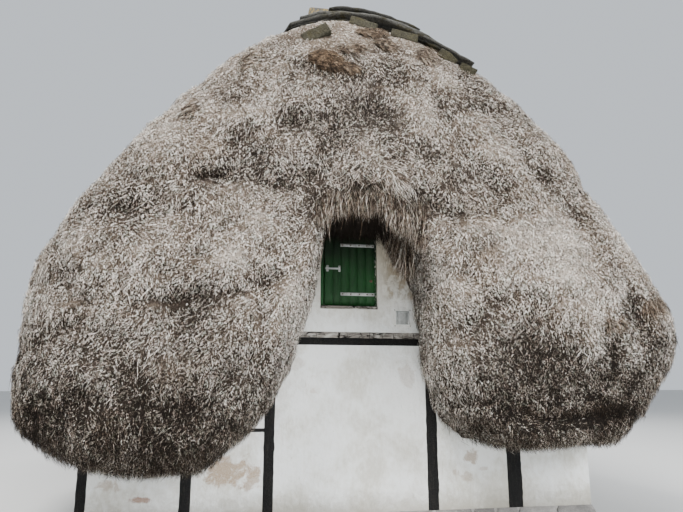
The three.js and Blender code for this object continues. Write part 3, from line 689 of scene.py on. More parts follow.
def glass_look():
    """Old window glass, a little wavy and dusty"""
    look = Look("window_glass", 0.08, 0.5)
    look.shader.inputs["Transmission Weight"].default_value = 0.85
    look.shader.inputs["IOR"].default_value = 1.45
    dust = look.noise(9, 5, 0.7)
    look.fill(look.shader.inputs["Roughness"], look.between(dust, 0.4, 0.8, 0.05, 0.4))
    return look.finished(look.ramp(dust, GLASS_STOPS), (look.noise(4, 2, 0.5), 0.004))


SEAWEED = seaweed_look()
THATCH_BODY = thatch_body_look()
TURF = turf_look("turf", 1.0)
LOOSE_TURF = turf_look("loose_turf", 0.45)
LIMEWASH = limewash_look()
LIMEWASH_FRONT = limewash_look(WORN_PATCHES)
TARRED = tarred_look()
GREY_TIMBER = grey_timber_look()
GREEN = green_look()
CHIPPED_GREEN = green_look("chipped_green_paint", 1.0)
GREY_METAL = grey_metal_look()
RUST = rust_look()
FIELDSTONE = stone_look("fieldstone", 0.15, 1.0)
# Painted shade darkens the chimney's head
SHADED_CHIMNEY_STONE = stone_look("chimney_stone", 0.75, 0.17)
CLAY_FLOOR = clay_look()
BOARDS = board_look()
GLASS = glass_look()


# The thatch

THATCH_NODES = [name for name in NODES if name.startswith("thatch_")]
# In metres: the voxels of the joined mass, the depth of its smooth lining round the house and over how
# far it ends, and how deep the mass lies under its fibres
VOXEL = 0.085
LINING = 0.075
LINING_END = 0.12
SUNK = 0.045
# How much deeper it lies on undersides, how far it stands out on the brow, and how deep it lies under the
# turf and under the turf's front end
UNDER_SUNK, BROW_OUT, TURF_SUNK, TURF_END_SUNK = 0.05, 0.03, 0.03, 0.07
CROWN_X, CROWN_Z = 0.1, 7.0


def outside_house(points):
    """How far each point lies outside the block of the house, in metres"""
    gable = (points[:, 2] - GABLE_APEX + ROOF_SLOPE * np.abs(points[:, 0])) / math.hypot(1, ROOF_SLOPE)
    beside, beyond = np.abs(points[:, 0]) - HALF_WIDTH, np.abs(points[:, 1]) - HALF_LENGTH
    return np.maximum(np.maximum(beside, beyond), gable)


def joined_thatch():
    """The frame's thatch masses as one closed mesh of even small faces"""
    points, faces, count = [], [], 0
    for name in sorted(THATCH_NODES):
        vertices, triangles, _ = mesh_arrays(NODES[name])
        points.append(vertices)
        faces.append(triangles + count)
        count += len(vertices)
    mesh = face_mesh("thatch_mass", np.concatenate(points), np.concatenate(faces))
    obj = new_object("thatch_mass", mesh)
    remesh = obj.modifiers.new("remesh", "REMESH")
    remesh.mode = "VOXEL"
    remesh.voxel_size = VOXEL
    smooth = obj.modifiers.new("smooth", "SMOOTH")
    smooth.factor = 0.5
    smooth.iterations = 3
    graph = bpy.context.evaluated_depsgraph_get()
    baked = bpy.data.meshes.new_from_object(obj.evaluated_get(graph))
    obj.modifiers.clear()
    obj.data = baked
    return obj


# Humps, hollows and creases of the front, by their place in the picture: across, down, half width,
# half height, lean in degrees, metres outwards and how much paler; the last paints light on humps and
# shade in creases and hollows, and darkens and brightens broad areas
FRONT_FORMS = (
    (323, 59, 17, 9, 6, 0.09, -0.24),
    (330, 71, 22, 4, -10, -0.04, -0.30),
    (348, 66, 12, 4, -15, 0.03, -0.10),
    (294, 116, 17, 9, 25, -0.06, -0.26),
    (330, 122, 22, 8, 0, -0.03, -0.12),
    (374, 106, 30, 12, -12, -0.03, -0.16),
    (420, 108, 26, 5, -52, 0.03, 0.30),
    (418, 125, 22, 12, 20, 0.04, 0.14),
    (245, 120, 26, 15, 20, 0.05, 0.12),
    (212, 174, 18, 9, 20, -0.08, -0.34),
    (250, 158, 24, 7, 30, -0.04, -0.16),
    (272, 176, 34, 8, 4, -0.05, -0.24),
    (305, 168, 14, 9, 0, -0.03, -0.14),
    (232, 142, 12, 10, 60, -0.03, -0.12),
    (255, 218, 36, 18, 10, 0.08, 0.16),
    (222, 265, 26, 12, 15, 0.05, 0.14),
    (275, 262, 22, 14, 12, 0.05, 0.08),
    (236, 292, 50, 6, 8, -0.04, -0.14),
    (270, 204, 16, 5, -30, -0.03, -0.16),
    (120, 202, 30, 9, 20, -0.04, -0.16),
    (172, 205, 30, 7, 6, -0.03, -0.12),
    (72, 272, 34, 7, 44, -0.05, -0.20),
    (125, 262, 36, 16, 25, 0.05, 0.10),
    (170, 298, 42, 6, 10, -0.05, -0.20),
    (70, 236, 20, 10, 50, 0.03, 0.06),
    (150, 150, 26, 24, 45, 0.03, 0.06),
    (60, 318, 30, 8, 20, 0.04, 0.08),
    (28, 346, 30, 8, 25, -0.04, -0.12),
    (205, 330, 30, 10, 12, 0.02, -0.06),
    (165, 320, 16, 10, 40, 0.02, 0.06),
    (95, 372, 20, 12, 30, 0.03, 0.08),
    (180, 378, 26, 10, 12, 0.02, 0.03),
    (36, 425, 26, 22, 30, -0.05, -0.08),
    (90, 398, 24, 8, 12, -0.04, -0.09),
    (160, 412, 50, 16, 4, -0.01, -0.05),
    (405, 172, 12, 24, -8, 0.04, 0.13),
    (430, 150, 16, 10, -20, -0.03, -0.10),
    (445, 206, 44, 9, -8, -0.05, -0.18),
    (508, 190, 14, 9, -30, -0.04, -0.14),
    (478, 150, 14, 14, -30, -0.02, -0.08),
    (350, 48, 40, 12, -6, 0.0, 0.10),
    (540, 168, 20, 5, -40, -0.04, -0.16),
    (585, 222, 30, 4, -50, -0.03, -0.12),
    (555, 240, 30, 20, -25, 0.05, 0.09),
    (500, 240, 30, 16, 0, 0.04, 0.08),
    (548, 278, 34, 9, -4, 0.05, 0.12),
    (470, 228, 22, 12, 0, 0.02, 0.02),
    (478, 320, 26, 12, 10, -0.05, -0.20),
    (512, 318, 16, 12, 20, 0.05, 0.08),
    (552, 318, 10, 16, -20, 0.03, 0.04),
    (535, 345, 10, 18, 10, -0.06, -0.22),
    (494, 352, 26, 10, 0, 0.01, -0.05),
    (590, 340, 14, 22, -10, 0.05, 0.10),
    (612, 350, 8, 22, -10, -0.06, -0.22),
    (634, 306, 16, 10, -40, -0.05, -0.16),
    (628, 370, 12, 16, -10, 0.03, 0.08),
    (575, 375, 26, 8, 0, 0.03, 0.06),
    (480, 400, 22, 6, 4, -0.05, -0.16),
    (515, 404, 24, 4, -10, -0.04, -0.12),
    (582, 414, 56, 8, -4, -0.12, -0.34),
    (560, 434, 70, 6, -2, 0.03, 0.03),
    (425, 340, 10, 50, 0, 0.00, -0.08),
    (412, 262, 14, 26, -25, 0.00, -0.06),
    (394, 252, 9, 15, -30, 0.09, 0.0),
    (330, 34, 22, 10, 20, 0.01, 0.16),
    (445, 66, 18, 6, -35, 0.01, 0.10),
    (352, 128, 85, 52, 0, 0.0, -0.28),
    (355, 196, 50, 18, 0, 0.0, -0.28),
    (350, 64, 80, 16, 0, 0.0, -0.10),
    (480, 150, 50, 40, -30, 0.0, 0.05),
    (525, 250, 80, 40, 0, 0.0, 0.20),
    (535, 355, 84, 28, 0, 0.0, -0.19),
    (145, 250, 60, 36, 20, 0.0, 0.06),
    (390, 60, 44, 20, -25, 0.0, -0.08),
)
# Painted shade where the lobes turn under: they darken between two heights of the picture, each pair with how
# much
LOBE_SHADES = (((290.0, 390.0), 0.23), ((360.0, 430.0), 0.40))
# The painted shade of dark forms is strengthened by this factor
FORM_CONTRAST = 1.6
# How far the forms' edges wander, in pixels, and the sizes of the two waves in metres
EDGE_SWAY = 9.0
LONG_SWAY, SHORT_SWAY = 0.42, 0.19
# The front's looks set in between these distances before the middle of the house, in metres
FRONT_BEGINS = (3.4, 4.4)


def turned_ellipse(across, down, form):
    """A form's share at places of the picture: 1 in its middle, less than 0.4 beyond its edge"""
    lean = math.radians(form[4])
    right = (across - form[0]) * math.cos(lean) - (down - form[1]) * math.sin(lean)
    below = (across - form[0]) * math.sin(lean) + (down - form[1]) * math.cos(lean)
    return np.exp(-((right / form[2]) ** 2 + (below / form[3]) ** 2))


def edge_sway(points, seed):
    """How far a form's edges wander at each point, in pixels"""
    sway = smooth_noise(points, LONG_SWAY, seed) + 0.6 * smooth_noise(points, SHORT_SWAY, seed + 2)
    return EDGE_SWAY * sway


def front_forms(points):
    """The front's own forms: metres outwards, and how much paler, as painted light and painted shade"""
    across, down = picture_place(points)
    across = across + edge_sway(points, 201)
    down = down + edge_sway(points, 205)
    height, paler = np.zeros(len(points)), np.zeros(len(points))
    for form in FRONT_FORMS:
        share = turned_ellipse(across, down, form)
        height += form[5] * share
        paler += (FORM_CONTRAST if form[6] < 0 else 1.0) * form[6] * share
    for heights, depth in LOBE_SHADES:
        paler -= depth * ease(down, *heights)
    return height, paler


def front_share(points):
    """1 on the gable's thatch, 0 on the long slopes and the back"""
    return ease(-points[:, 1], *FRONT_BEGINS)


# The width of the folds, their lengths on the front and elsewhere, and their sway, in metres
FOLD_WIDTH, FRONT_FOLD, SIDE_FOLD, FOLD_SWAY = 0.50, 1.7, 1.5, 0.20


def downhill_folds(points, seed):
    """Rounded folds that run down from the crown, with narrow creases between them"""
    front = front_share(points)
    right, below = points[:, 0] - CROWN_X, CROWN_Z - points[:, 2]
    turn = np.arctan2(right, np.maximum(below, 0.4)) * 3.4
    sway = FOLD_SWAY * smooth_noise(points, 0.7, seed + 3) * 2
    x, y, z = points.T
    on_front = np.stack([turn / FOLD_WIDTH + sway, np.hypot(right, below) / FRONT_FOLD, y * 0.3], axis=1)
    along = np.stack([y / FOLD_WIDTH + sway, z / SIDE_FOLD, x * 0.2], axis=1)
    fold_front = np.abs(smooth_noise(on_front, 1.0, seed))
    fold_side = np.abs(smooth_noise(along, 1.0, seed + 1))
    return mix(fold_side, fold_front, front) - 0.3


# The sizes and heights of the lumps in metres; broad heaps have one height elsewhere and one on the front
BROAD_HEAP, SMALL_HEAP = 0.62, 0.27
BROAD_HEIGHTS = (0.025, 0.075)
SMALL_HEIGHT, FINE_HEIGHT, WAVE_HEIGHT, FOLD_HEIGHT = 0.040, 0.012, 0.025, 0.10


def lumpiness(points):
    """How far the seaweed's own lumps stand out at each point, in metres"""
    warp = np.stack([smooth_noise(points, 0.55, 40 + k) for k in range(3)], axis=1)
    bent = points + 0.16 * warp
    bent[:, 2] *= 1.15
    broad = drooping_heaps(bent, BROAD_HEAP, 3)
    small = drooping_heaps(bent + 0.05 * warp[:, ::-1], SMALL_HEAP, 17)
    total = mix(*BROAD_HEIGHTS, front_share(points)) * (broad - 0.62) + SMALL_HEIGHT * (small - 0.6)
    total += FINE_HEIGHT * rough_noise(points, 0.12, 29, 2) + WAVE_HEIGHT * smooth_noise(points, 1.1, 71)
    return total + FOLD_HEIGHT * downhill_folds(points, 90)


SMOOTHING_ROUNDS = 30


def standing_out(points, triangles, normals):
    """How far each point stands out from the surface around it, in metres"""
    ends = np.concatenate([triangles[:, [0, 1]], triangles[:, [1, 2]], triangles[:, [2, 0]]])
    ends = np.concatenate([ends, ends[:, ::-1]])
    neighbours = np.maximum(np.bincount(ends[:, 0], minlength=len(points)), 1)
    smooth = points.copy()
    for _ in range(SMOOTHING_ROUNDS):
        sums = [np.bincount(ends[:, 0], smooth[ends[:, 1], k], len(points)) for k in range(3)]
        smooth = mix(smooth, np.stack(sums, axis=1) / neighbours[:, None], 0.6)
    return ((points - smooth) * normals).sum(1)


TURF_LOW, TURF_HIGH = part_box("turf_course_1")

# The notch over the hatch, in metres: its brow, its ceiling and its right cheek. A negative pair is for the
# negative of a distance, an x or a height, because the place fades out as that grows
BROW_MIDDLE, BROW_SIDES, BROW_TOP, BROW_FOOT = 0.02, (-0.45, -0.25), (-3.95, -3.65), 2.9
CEILING_MIDDLE, CEILING_SIDES, CEILING_BACK = -0.02, (-0.50, -0.36), -4.2
CEILING_FOOT, CEILING_TOP = 3.0, 4.0
CHEEK_LEFT, CHEEK_RIGHT, CHEEK_TOP, CHEEK_BACK = (0.2, 0.4), (-1.5, -1.2), (-3.6, -3.2), -4.4
# The inside of the notch lies behind this y
NOTCH_DEPTH = -4.9
# How far the turf's neighbourhood reaches beyond its box, in metres
TURF_MARGIN = 0.25


def notch_brow(points):
    """1 along the thatch's brow over the hatch"""
    x, _, z = points.T
    return ease(-np.abs(x - BROW_MIDDLE), *BROW_SIDES) * ease(-z, *BROW_TOP) * (z > BROW_FOOT)


def near_turf(points):
    """1 beside and under the ridge's turf, 0 away from it"""
    x, _, z = points.T
    beside = ease(x, TURF_LOW.x - TURF_MARGIN, TURF_LOW.x + 0.05)
    beside *= ease(-x, -TURF_HIGH.x - TURF_MARGIN, -TURF_HIGH.x + 0.05)
    return beside * ease(z, TURF_LOW.z - TURF_MARGIN, TURF_LOW.z + 0.1)


def build_thatch_body():
    """The mass with its lumps, how far each point stands out, and 1 outside the lining of the house"""
    body = joined_thatch()
    points, triangles, normals = mesh_arrays(body)
    lining = ease(outside_house(points), LINING, LINING + LINING_END)
    front = front_share(points)
    height, _ = front_forms(points)
    lump = lumpiness(points) + height * front
    turf = near_turf(points)
    before_turf = ease(-points[:, 1], 4.45, 4.6) * ease(points[:, 0], -0.1, 0.5)
    brow = notch_brow(points)
    sunk = mix(SUNK + UNDER_SUNK * ease(-normals[:, 2], 0.3, 0.8), -BROW_OUT, brow)
    outwards = mix(lump * (1 - 0.7 * brow) - sunk, -TURF_SUNK - TURF_END_SUNK * before_turf, turf)
    heaps = standing_out(points, triangles, normals)
    lump = mix(lump + 1.4 * heaps * (1 - front), 0.0, turf)
    moved = points + normals * (outwards * lining)[:, None]
    body.data.vertices.foreach_set("co", moved.astype(np.float32).ravel())
    body.data.update()
    return body, lump, lining


body, body_lump, body_outside = build_thatch_body()
body_points, body_triangles, body_normals = mesh_arrays(body)


def in_notch(points, normals):
    """1 on the notch's own ceiling, which lies in deep shade"""
    x, y, z = points.T
    over_hatch = ease(-np.abs(x - CEILING_MIDDLE), *CEILING_SIDES) * (z > CEILING_FOOT) * (z < CEILING_TOP)
    return ease(-normals[:, 2], 0.15, 0.5) * over_hatch * (y < CEILING_BACK)


def on_cheek(points, normals):
    """1 on the notch's right cheek, where paler fibres catch the light"""
    x, y, z = points.T
    cheek = ease(-normals[:, 0], 0.2, 0.6) * ease(x, *CHEEK_LEFT) * ease(-x, *CHEEK_RIGHT)
    return cheek * ease(-z, *CHEEK_TOP) * (y < CHEEK_BACK)


# The tone of level seaweed, what it gains by facing up (bleaching, and painted light) and by each metre
# that it stands out (painted light on lumps, painted shade in hollows), and what it loses on undersides
# (painted shade), off the front, and near the ground there (unbleached seaweed, and painted shade)
LEVEL_TONE = 0.67
BLEACHED_AND_LIT_UP = 0.18
LIGHT_AND_SHADE_OUT = 2.4
SHADE_UNDER = 0.16
DARKER_SIDES = 0.15
UNBLEACHED_AND_SHADED_LOW = 0.22
# Broad and small patches: their sizes in metres and their strengths, the first elsewhere and on the front
BROAD_PATCH, SMALL_PATCH = 0.75, 0.34
BROAD_STRENGTHS, SMALL_STRENGTH = (0.07, 0.20), 0.17
# Tones below this one fall off more slowly, by this factor
DARK_TONE = 0.34
DARK_FALL = 0.45


def tone_and_painted_light(points, normals, lump):
    """How pale the seaweed is: bleached, with painted light on its lumps and painted shade in creases and
    undersides
    """
    up = normals[:, 2]
    front = front_share(points)
    _, paler = front_forms(points)
    tone = LEVEL_TONE + BLEACHED_AND_LIT_UP * up + LIGHT_AND_SHADE_OUT * lump
    tone += mix(*BROAD_STRENGTHS, front) * smooth_noise(points, BROAD_PATCH, 5)
    tone += SMALL_STRENGTH * smooth_noise(points, SMALL_PATCH, 6)
    tone -= SHADE_UNDER * ease(-up, -0.15, 0.6)
    tone += mix(-UNBLEACHED_AND_SHADED_LOW * ease(-points[:, 2], -1.7, -1.0), paler, front)
    tone -= DARKER_SIDES * (1 - front)
    tone = np.where(tone < DARK_TONE, DARK_TONE - DARK_FALL * (DARK_TONE - tone), tone)
    # Painted shade on the notch's ceiling, and painted light on its right cheek
    return tone - 0.8 * in_notch(points, normals) + 0.18 * on_cheek(points, normals)


def tuft_tone(points):
    """The light and dark of tufts of two sizes"""
    return 0.20 * (smooth_noise(points, 0.17, 7) + smooth_noise(points, 0.065, 9))


# Reddish brown places of the front: across, down, half width, half height, lean and strength
RUSTY_PLACES = (
    (324, 59, 15, 9, 0, 0.95),
    (345, 65, 14, 6, -20, 0.8),
    (378, 42, 22, 8, -8, 0.55),
    (420, 52, 10, 10, -40, 0.35),
    (655, 308, 9, 18, -30, 0.55),
    (613, 325, 4, 14, 20, 0.5),
    (575, 408, 30, 5, 0, 0.35),
    (150, 408, 60, 30, 0, 0.15),
    (190, 112, 10, 8, 0, 0.3),
    (405, 178, 14, 8, 0, 0.25),
)


def surface_rust(points):
    """Where the seaweed is reddish brown, from 0 to 1"""
    across, down = picture_place(points)
    total = 0.35 * ease(rough_noise(points, 0.42, 61, 2), 0.35, 0.95)
    for form in RUSTY_PLACES:
        total += form[5] * turned_ellipse(across, down, form) * front_share(points)
    return np.clip(total, 0, 1)


# Painted shade: how much darker the mass is than the fibres on it, elsewhere and on the front
BODY_SHADE = (0.34, 0.56)
seen_tone = tone_and_painted_light(body_points, body_normals, body_lump)
set_attribute(body.data, "tone", seen_tone - mix(*BODY_SHADE, front_share(body_points)))
set_attribute(body.data, "rust", surface_rust(body_points))
finish_piece(body, THATCH_BODY, THATCH_NODES, smooth=True)

# Loose fibres: for each piece its count, whether it stands on the front, and whether each fibre is bent
FIBRE_PIECES = (
    (90000, True, True),
    (90000, True, True),
    (108000, True, False),
    (108000, True, False),
    (56000, False, True),
    (50000, False, False),
)
# In metres: lengths, widths, and how deep the roots lie
FIBRE_LENGTHS = (0.055, 0.135)
FIBRE_WIDTHS = (0.0026, 0.0054)
FRINGE_HALF_WIDTHS = (0.0015, 0.0032)
LOCK_LENGTHS = (0.10, 0.24)
LOCK_HALF_WIDTHS = (0.0022, 0.0042)
ROOT_DEPTH = 0.008
# Factors of a fibre's length and width where it isn't bent, or doesn't stand on the front
STRAIGHT_LENGTH = 0.85
OTHER_LENGTH = 1.5
OTHER_WIDTH = 2.0
# Shares of a fibre's length: how far its knee stands up, bends aside and how far its tip droops
FIBRE_LIFTS = (0.04, 0.26)
FIBRE_CURL = 0.18
TIP_DROOP = 0.10
# How far fibres turn about their own line, in radians
FIBRE_ROLL = 1.3
# The share of long bent fibres, and their factors of length and lift
LONG_SHARE = 0.13
LONG_LENGTH = 2.2
LONG_LIFT = 0.3
# The tones of single fibres: their spread, the share of dark ones, and what dark and other ones gain
FIBRE_VARIETY = 0.14
DARK_SHARE = 0.42
DARKER_BY = -0.44
PALER_BY = 0.17


def face_shares():
    """How likely a fibre is to stand on each face, on the front and elsewhere"""
    corners = body_points[body_triangles]
    areas = np.linalg.norm(np.cross(corners[:, 1] - corners[:, 0], corners[:, 2] - corners[:, 0]), axis=1) / 2
    areas *= np.clip(body_outside[body_triangles].mean(1), 0, 1) ** 2
    middle = corners.mean(1)
    front = ease(-middle[:, 1], 3.0, 4.2)
    hidden = front * ease(middle[:, 1], NOTCH_DEPTH, -4.5) * ease(-outside_house(middle), -0.6, -0.3)
    return areas * front * (1 - 0.8 * hidden), areas * (1 - front)


FRONT_SHARES, OTHER_SHARES = face_shares()


def fibre_roots(count, on_front):
    """Places on the thatch's outside, as face numbers and weights of corners"""
    shares = FRONT_SHARES if on_front else OTHER_SHARES
    chosen = random.choice(len(shares), size=count, p=shares / shares.sum())
    a, b = random.random(count), random.random(count)
    flip = a + b > 1
    a, b = np.where(flip, 1 - a, a), np.where(flip, 1 - b, b)
    return chosen, np.stack([1 - a - b, a, b], axis=1)


def on_faces(values, chosen, shares):
    """The values of points at places on faces"""
    corners = values[body_triangles[chosen]]
    if corners.ndim == 2:
        return (corners * shares).sum(1)
    return (corners * shares[:, :, None]).sum(1)


# The fibres' swirls: the size of each in metres, how far it turns them in radians, and its seed
SWIRLS = ((0.40, 0.45, 81), (0.11, 0.50, 83))


def fibre_flow(roots, normals, level):
    """The way the fibres lie: downhill and away from the crown, swirled a little from tuft to tuft"""
    down = np.array([0.0, 0.0, -1.0])
    from_crown = unit(np.stack([roots[:, 0] - CROWN_X, 0 * roots[:, 0], roots[:, 2] - CROWN_Z], axis=1))
    down = mix(down, 0.35 * down + 0.65 * from_crown, front_share(roots)[:, None])
    fall = unit(down - normals * (down * normals).sum(1, keepdims=True))
    side = unit(np.cross(normals, fall))
    turn = sum(strength * smooth_noise(roots, size, seed) for size, strength, seed in SWIRLS)
    turn += random.normal(0, 1, len(roots)) * mix(0.45, 1.2, level) * (1 - 0.4 * notch_brow(roots))
    flow = fall * np.cos(turn)[:, None] + side * np.sin(turn)[:, None]
    hang = ease(-normals[:, 2], 0.0, 0.7)[:, None]
    return unit(mix(flow, 0.5 * flow + np.array([0, 0, -1.0]), hang)), side


def fibre_sizes(roots, level, on_front, bent):
    """Lengths and widths: shorter where the thatch is level and beside the turf, longer on the brow"""
    count = len(roots)
    length = random.uniform(*FIBRE_LENGTHS, count) * mix(1.0, 0.62, level)
    width = random.uniform(*FIBRE_WIDTHS, count)
    if not bent:
        length *= STRAIGHT_LENGTH
    if not on_front:
        length *= OTHER_LENGTH
        width *= OTHER_WIDTH
    fringe = notch_brow(roots) * (roots[:, 1] < NOTCH_DEPTH) * (roots[:, 2] > 3.2)
    return length * (1 + 0.9 * fringe) * (1 - 0.35 * near_turf(roots)), width


# The two triangles of a bent fibre between its root, both sides of its knee, and its tip
BENT_FACES = np.array([[0, 1, 2], [1, 3, 2]])
STRAIGHT_FACES = np.array([[0, 1, 2]])


def fibre_piece(name, points, pattern, attributes):
    """A piece of seaweed from fibres with the same number of points each"""
    count, corners, _ = points.shape
    faces = (np.arange(count) * corners)[:, None, None] + pattern
    mesh = face_mesh(name, points.reshape(-1, 3), faces.reshape(-1, 3))
    for key, values in attributes.items():
        set_attribute(mesh, key, values)
    finish_piece(new_object(name, mesh), SEAWEED)


def fibre_cloud(name, count, on_front, bent):
    """Many loose fibres on the front or on the other sides; straight ones have a single triangle each"""
    chosen, shares = fibre_roots(count, on_front)
    roots = on_faces(body_points, chosen, shares)
    normals = unit(on_faces(body_normals, chosen, shares))
    lump = on_faces(body_lump, chosen, shares)
    level = ease(normals[:, 2], 0.05, 0.65)
    long_ones = (random.random(count) < (LONG_SHARE if bent else 0.0)) & (normals[:, 2] > -0.1)
    flow, side = fibre_flow(roots, normals, np.where(long_ones, 0.0, level))
    length, width = fibre_sizes(roots, level, on_front, bent)
    length *= np.where(long_ones, LONG_LENGTH, 1.0)
    lift = random.uniform(*FIBRE_LIFTS, count) * mix(1.0, 1.9, level) * (1 - 0.6 * near_turf(roots))
    lift *= np.where(long_ones, LONG_LIFT, 1.0)
    curl = random.normal(0, FIBRE_CURL, count) * mix(1.0, 2.0, level)
    roll = random.uniform(-FIBRE_ROLL, FIBRE_ROLL, count)
    flat = unit(np.cross(flow, normals)) * np.cos(roll)[:, None] + normals * np.sin(roll)[:, None]
    half = flat * width[:, None] / 2
    start = roots - normals * ROOT_DEPTH
    knee = roots + (0.5 * flow + normals * lift[:, None] + side * curl[:, None]) * length[:, None]
    tip = roots + (flow + normals * (0.5 * lift)[:, None] - side * curl[:, None]) * length[:, None]
    tip[:, 2] -= TIP_DROOP * length
    tone = tone_and_painted_light(roots, normals, lump)
    variety = mix(0.6, 1.0, ease(tone, 0.25, 0.5))
    tone += variety * (tuft_tone(roots) + random.normal(0, FIBRE_VARIETY, count))
    tone += variety * np.where(random.random(count) < DARK_SHARE, DARKER_BY, PALER_BY)
    rust = np.clip(surface_rust(roots) + random.normal(0.04, 0.22, count), 0, 1)
    grain = (1 - 0.75 * notch_brow(roots)) * np.where(long_ones, 0.4, 1.0)
    tone -= 0.20 * (1 - grain)
    # Each fibre is darker at its root and paler at its tip: painted shade among the fibres, painted light at
    # the tips
    if bent:
        points = np.stack([start, knee - half, knee + half, tip], axis=1)
        pattern, shade = BENT_FACES, np.array([-0.36, 0.02, 0.02, 0.14])
    else:
        points = np.stack([start - half, start + half, tip], axis=1)
        pattern, shade = STRAIGHT_FACES, np.array([-0.15, -0.15, 0.14])
    corners = points.shape[1]
    tones = np.clip(tone[:, None] + shade, 0.0, 1.0).ravel()
    attributes = {"tone": tones, "rust": np.repeat(rust, corners), "grain": np.repeat(grain, corners)}
    fibre_piece(name, points, pattern, attributes)


SURFACE = BVHTree.FromPolygons(body_points.tolist(), body_triangles.tolist())


def look_through(across, down):
    """Where the camera's sight line through a place of the picture meets the thatch, if it does"""
    hit, normal, _, _ = SURFACE.ray_cast(Vector(CAMERA_PLACE), Vector(sight_line(across, down)))
    return hit, normal


# How far down the picture the next try lies where a sight line misses the thatch, in pixels
SIGHT_STEP = 2


def seen_on(across, down):
    """Where a place of the picture, or the next one below it, lies on the thatch, and the normal there"""
    hit = None
    while hit is None:
        hit, normal = look_through(across, down)
        down += SIGHT_STEP
    return np.array(hit), np.array(normal)


# Long fibres that hang over the hatch: left and right in the picture, where they grow, where their tips
# hang at the left and at the right, how many there are, and how pale they are
FRINGES = (
    (326.0, 392.0, (186.0, 209.0), (216.0, 217.0), 4200, 0.22),
    (384.0, 428.0, (196.0, 226.0), (224.0, 258.0), 3800, 0.22),
    (316.0, 330.0, (196.0, 214.0), (236.0, 222.0), 800, 0.24),
    (380.0, 410.0, (226.0, 262.0), (240.0, 288.0), 2200, 0.20),
)
# How the tips vary, in pixels: in long waves, in short ones, by strays, by chance, and upwards
TIP_WAVE = 3.0
TIP_RIPPLE = 2.0
TIP_STRAYS = 5.0
TIP_CHANCE = 2.6
TIP_SHORTER = 4.5
STRAY_SHARE = 0.05


def hanging_fibres(left, right, grown, ends, count, pale):
    """The points and tones of one fringe, four for each fibre"""
    points, tones = [], []
    for _ in range(count):
        share = random.random()
        across = mix(left, right, share)
        grows = random.uniform(*grown)
        hit, normal = look_through(across, grows)
        ragged = TIP_WAVE * math.sin(across * 0.21) + TIP_RIPPLE * math.sin(across * 0.57 + 1)
        is_stray = random.random() < STRAY_SHARE
        reach = random.exponential(TIP_STRAYS) if is_stray else random.normal(0, TIP_CHANCE)
        end = mix(*ends, share) + ragged + reach - TIP_SHORTER * random.random() ** 2
        if hit is None or hit.y > NOTCH_DEPTH:
            continue
        root = np.array(hit) + np.array(normal) * random.uniform(0.0, 0.03)
        length = max(0.05, (end - grows) * (hit.y - CAMERA_PLACE[1]) / FOCAL_PIXELS)
        way = unit(np.array([random.normal(0, 0.15), random.normal(0.02, 0.07), -1.0]))
        bend = np.array([random.normal(0, 0.03), -0.02, 0.0])
        turned = np.array([math.cos(share * 9 + grows * 0.3), 0.6 * math.sin(grows * 9), 0.0])
        half = turned * random.uniform(*FRINGE_HALF_WIDTHS)
        knee = root + way * length * 0.55 + bend
        points.append((root, knee - half, knee + half, root + way * length))
        tuft = 0.16 * math.sin(across * 1.3) * math.sin(across * 0.37 + 2)
        shade = pale + tuft + random.normal(0, 0.12) + random.choice((-0.26, -0.12, 0.28))
        # Darker at the root and paler at the tip: painted shade and painted light
        tones += [shade - 0.1, shade, shade, shade + 0.12]
    return np.array(points), np.clip(tones, 0, 1)


def build_fringe():
    for number, fringe in enumerate(FRINGES, 1):
        points, tones = hanging_fibres(*fringe)
        rust = np.clip(random.normal(0.30, 0.25, len(points)), 0, 1).repeat(4)
        fibre_piece(f"hatch_fringe_{number}", points, BENT_FACES, {"tone": tones, "rust": rust})


# Locks of long fibres combed one way: across, down, half width, half height, lean, number, paler, rust
LOCKS = (
    (326, 59, 15, 6, -8, 2300, -0.02, 0.95),
    (330, 67, 17, 3, -10, 900, -0.20, 0.85),
    (346, 68, 12, 4, -14, 700, -0.04, 0.85),
    (372, 34, 14, 4, -4, 500, -0.02, 0.75),
    (352, 50, 12, 4, 10, 400, -0.02, 0.55),
    (386, 47, 9, 5, -20, 400, -0.05, 0.60),
    (428, 58, 10, 8, -44, 400, -0.03, 0.45),
    (655, 306, 8, 15, -60, 320, -0.02, 0.60),
    (613, 325, 4, 12, -70, 220, -0.02, 0.45),
    (250, 62, 14, 6, 30, 240, -0.04, 0.35),
    (190, 112, 12, 6, 40, 240, -0.06, 0.30),
)
LOCK_TONE = 0.30


def lean_in_picture(angle):
    """The direction across the view that leans by an angle, in radians, from the picture's right"""
    right, _, up = camera_axes()
    return math.cos(angle) * right + math.sin(angle) * up


def lock_strands(across, down, half_wide, half_high, lean, number):
    """The points of one lock: strands that lie over the thatch along its lean, four points for each"""
    angle = math.radians(lean)
    points = []
    for _ in range(number):
        around, out = random.uniform(0, 2 * math.pi), math.sqrt(random.random())
        u, v = half_wide * out * math.cos(around), half_high * out * math.sin(around)
        x = across + u * math.cos(angle) + v * math.sin(angle)
        y = down - u * math.sin(angle) + v * math.cos(angle)
        place, normal = seen_on(x, y)
        way = lean_in_picture(angle + random.normal(0, 0.28) - 0.5 * v / half_high)
        way = unit(way - normal * (way @ normal))
        length = random.uniform(*LOCK_LENGTHS)
        side = np.cross(normal, way) * random.uniform(*LOCK_HALF_WIDTHS)
        knee = place + normal * random.uniform(0.015, 0.045)
        tip = place + way * length / 2 + normal * random.uniform(-0.01, 0.03)
        points.append((place - way * length / 2, knee - side, knee + side, tip))
    return np.array(points)


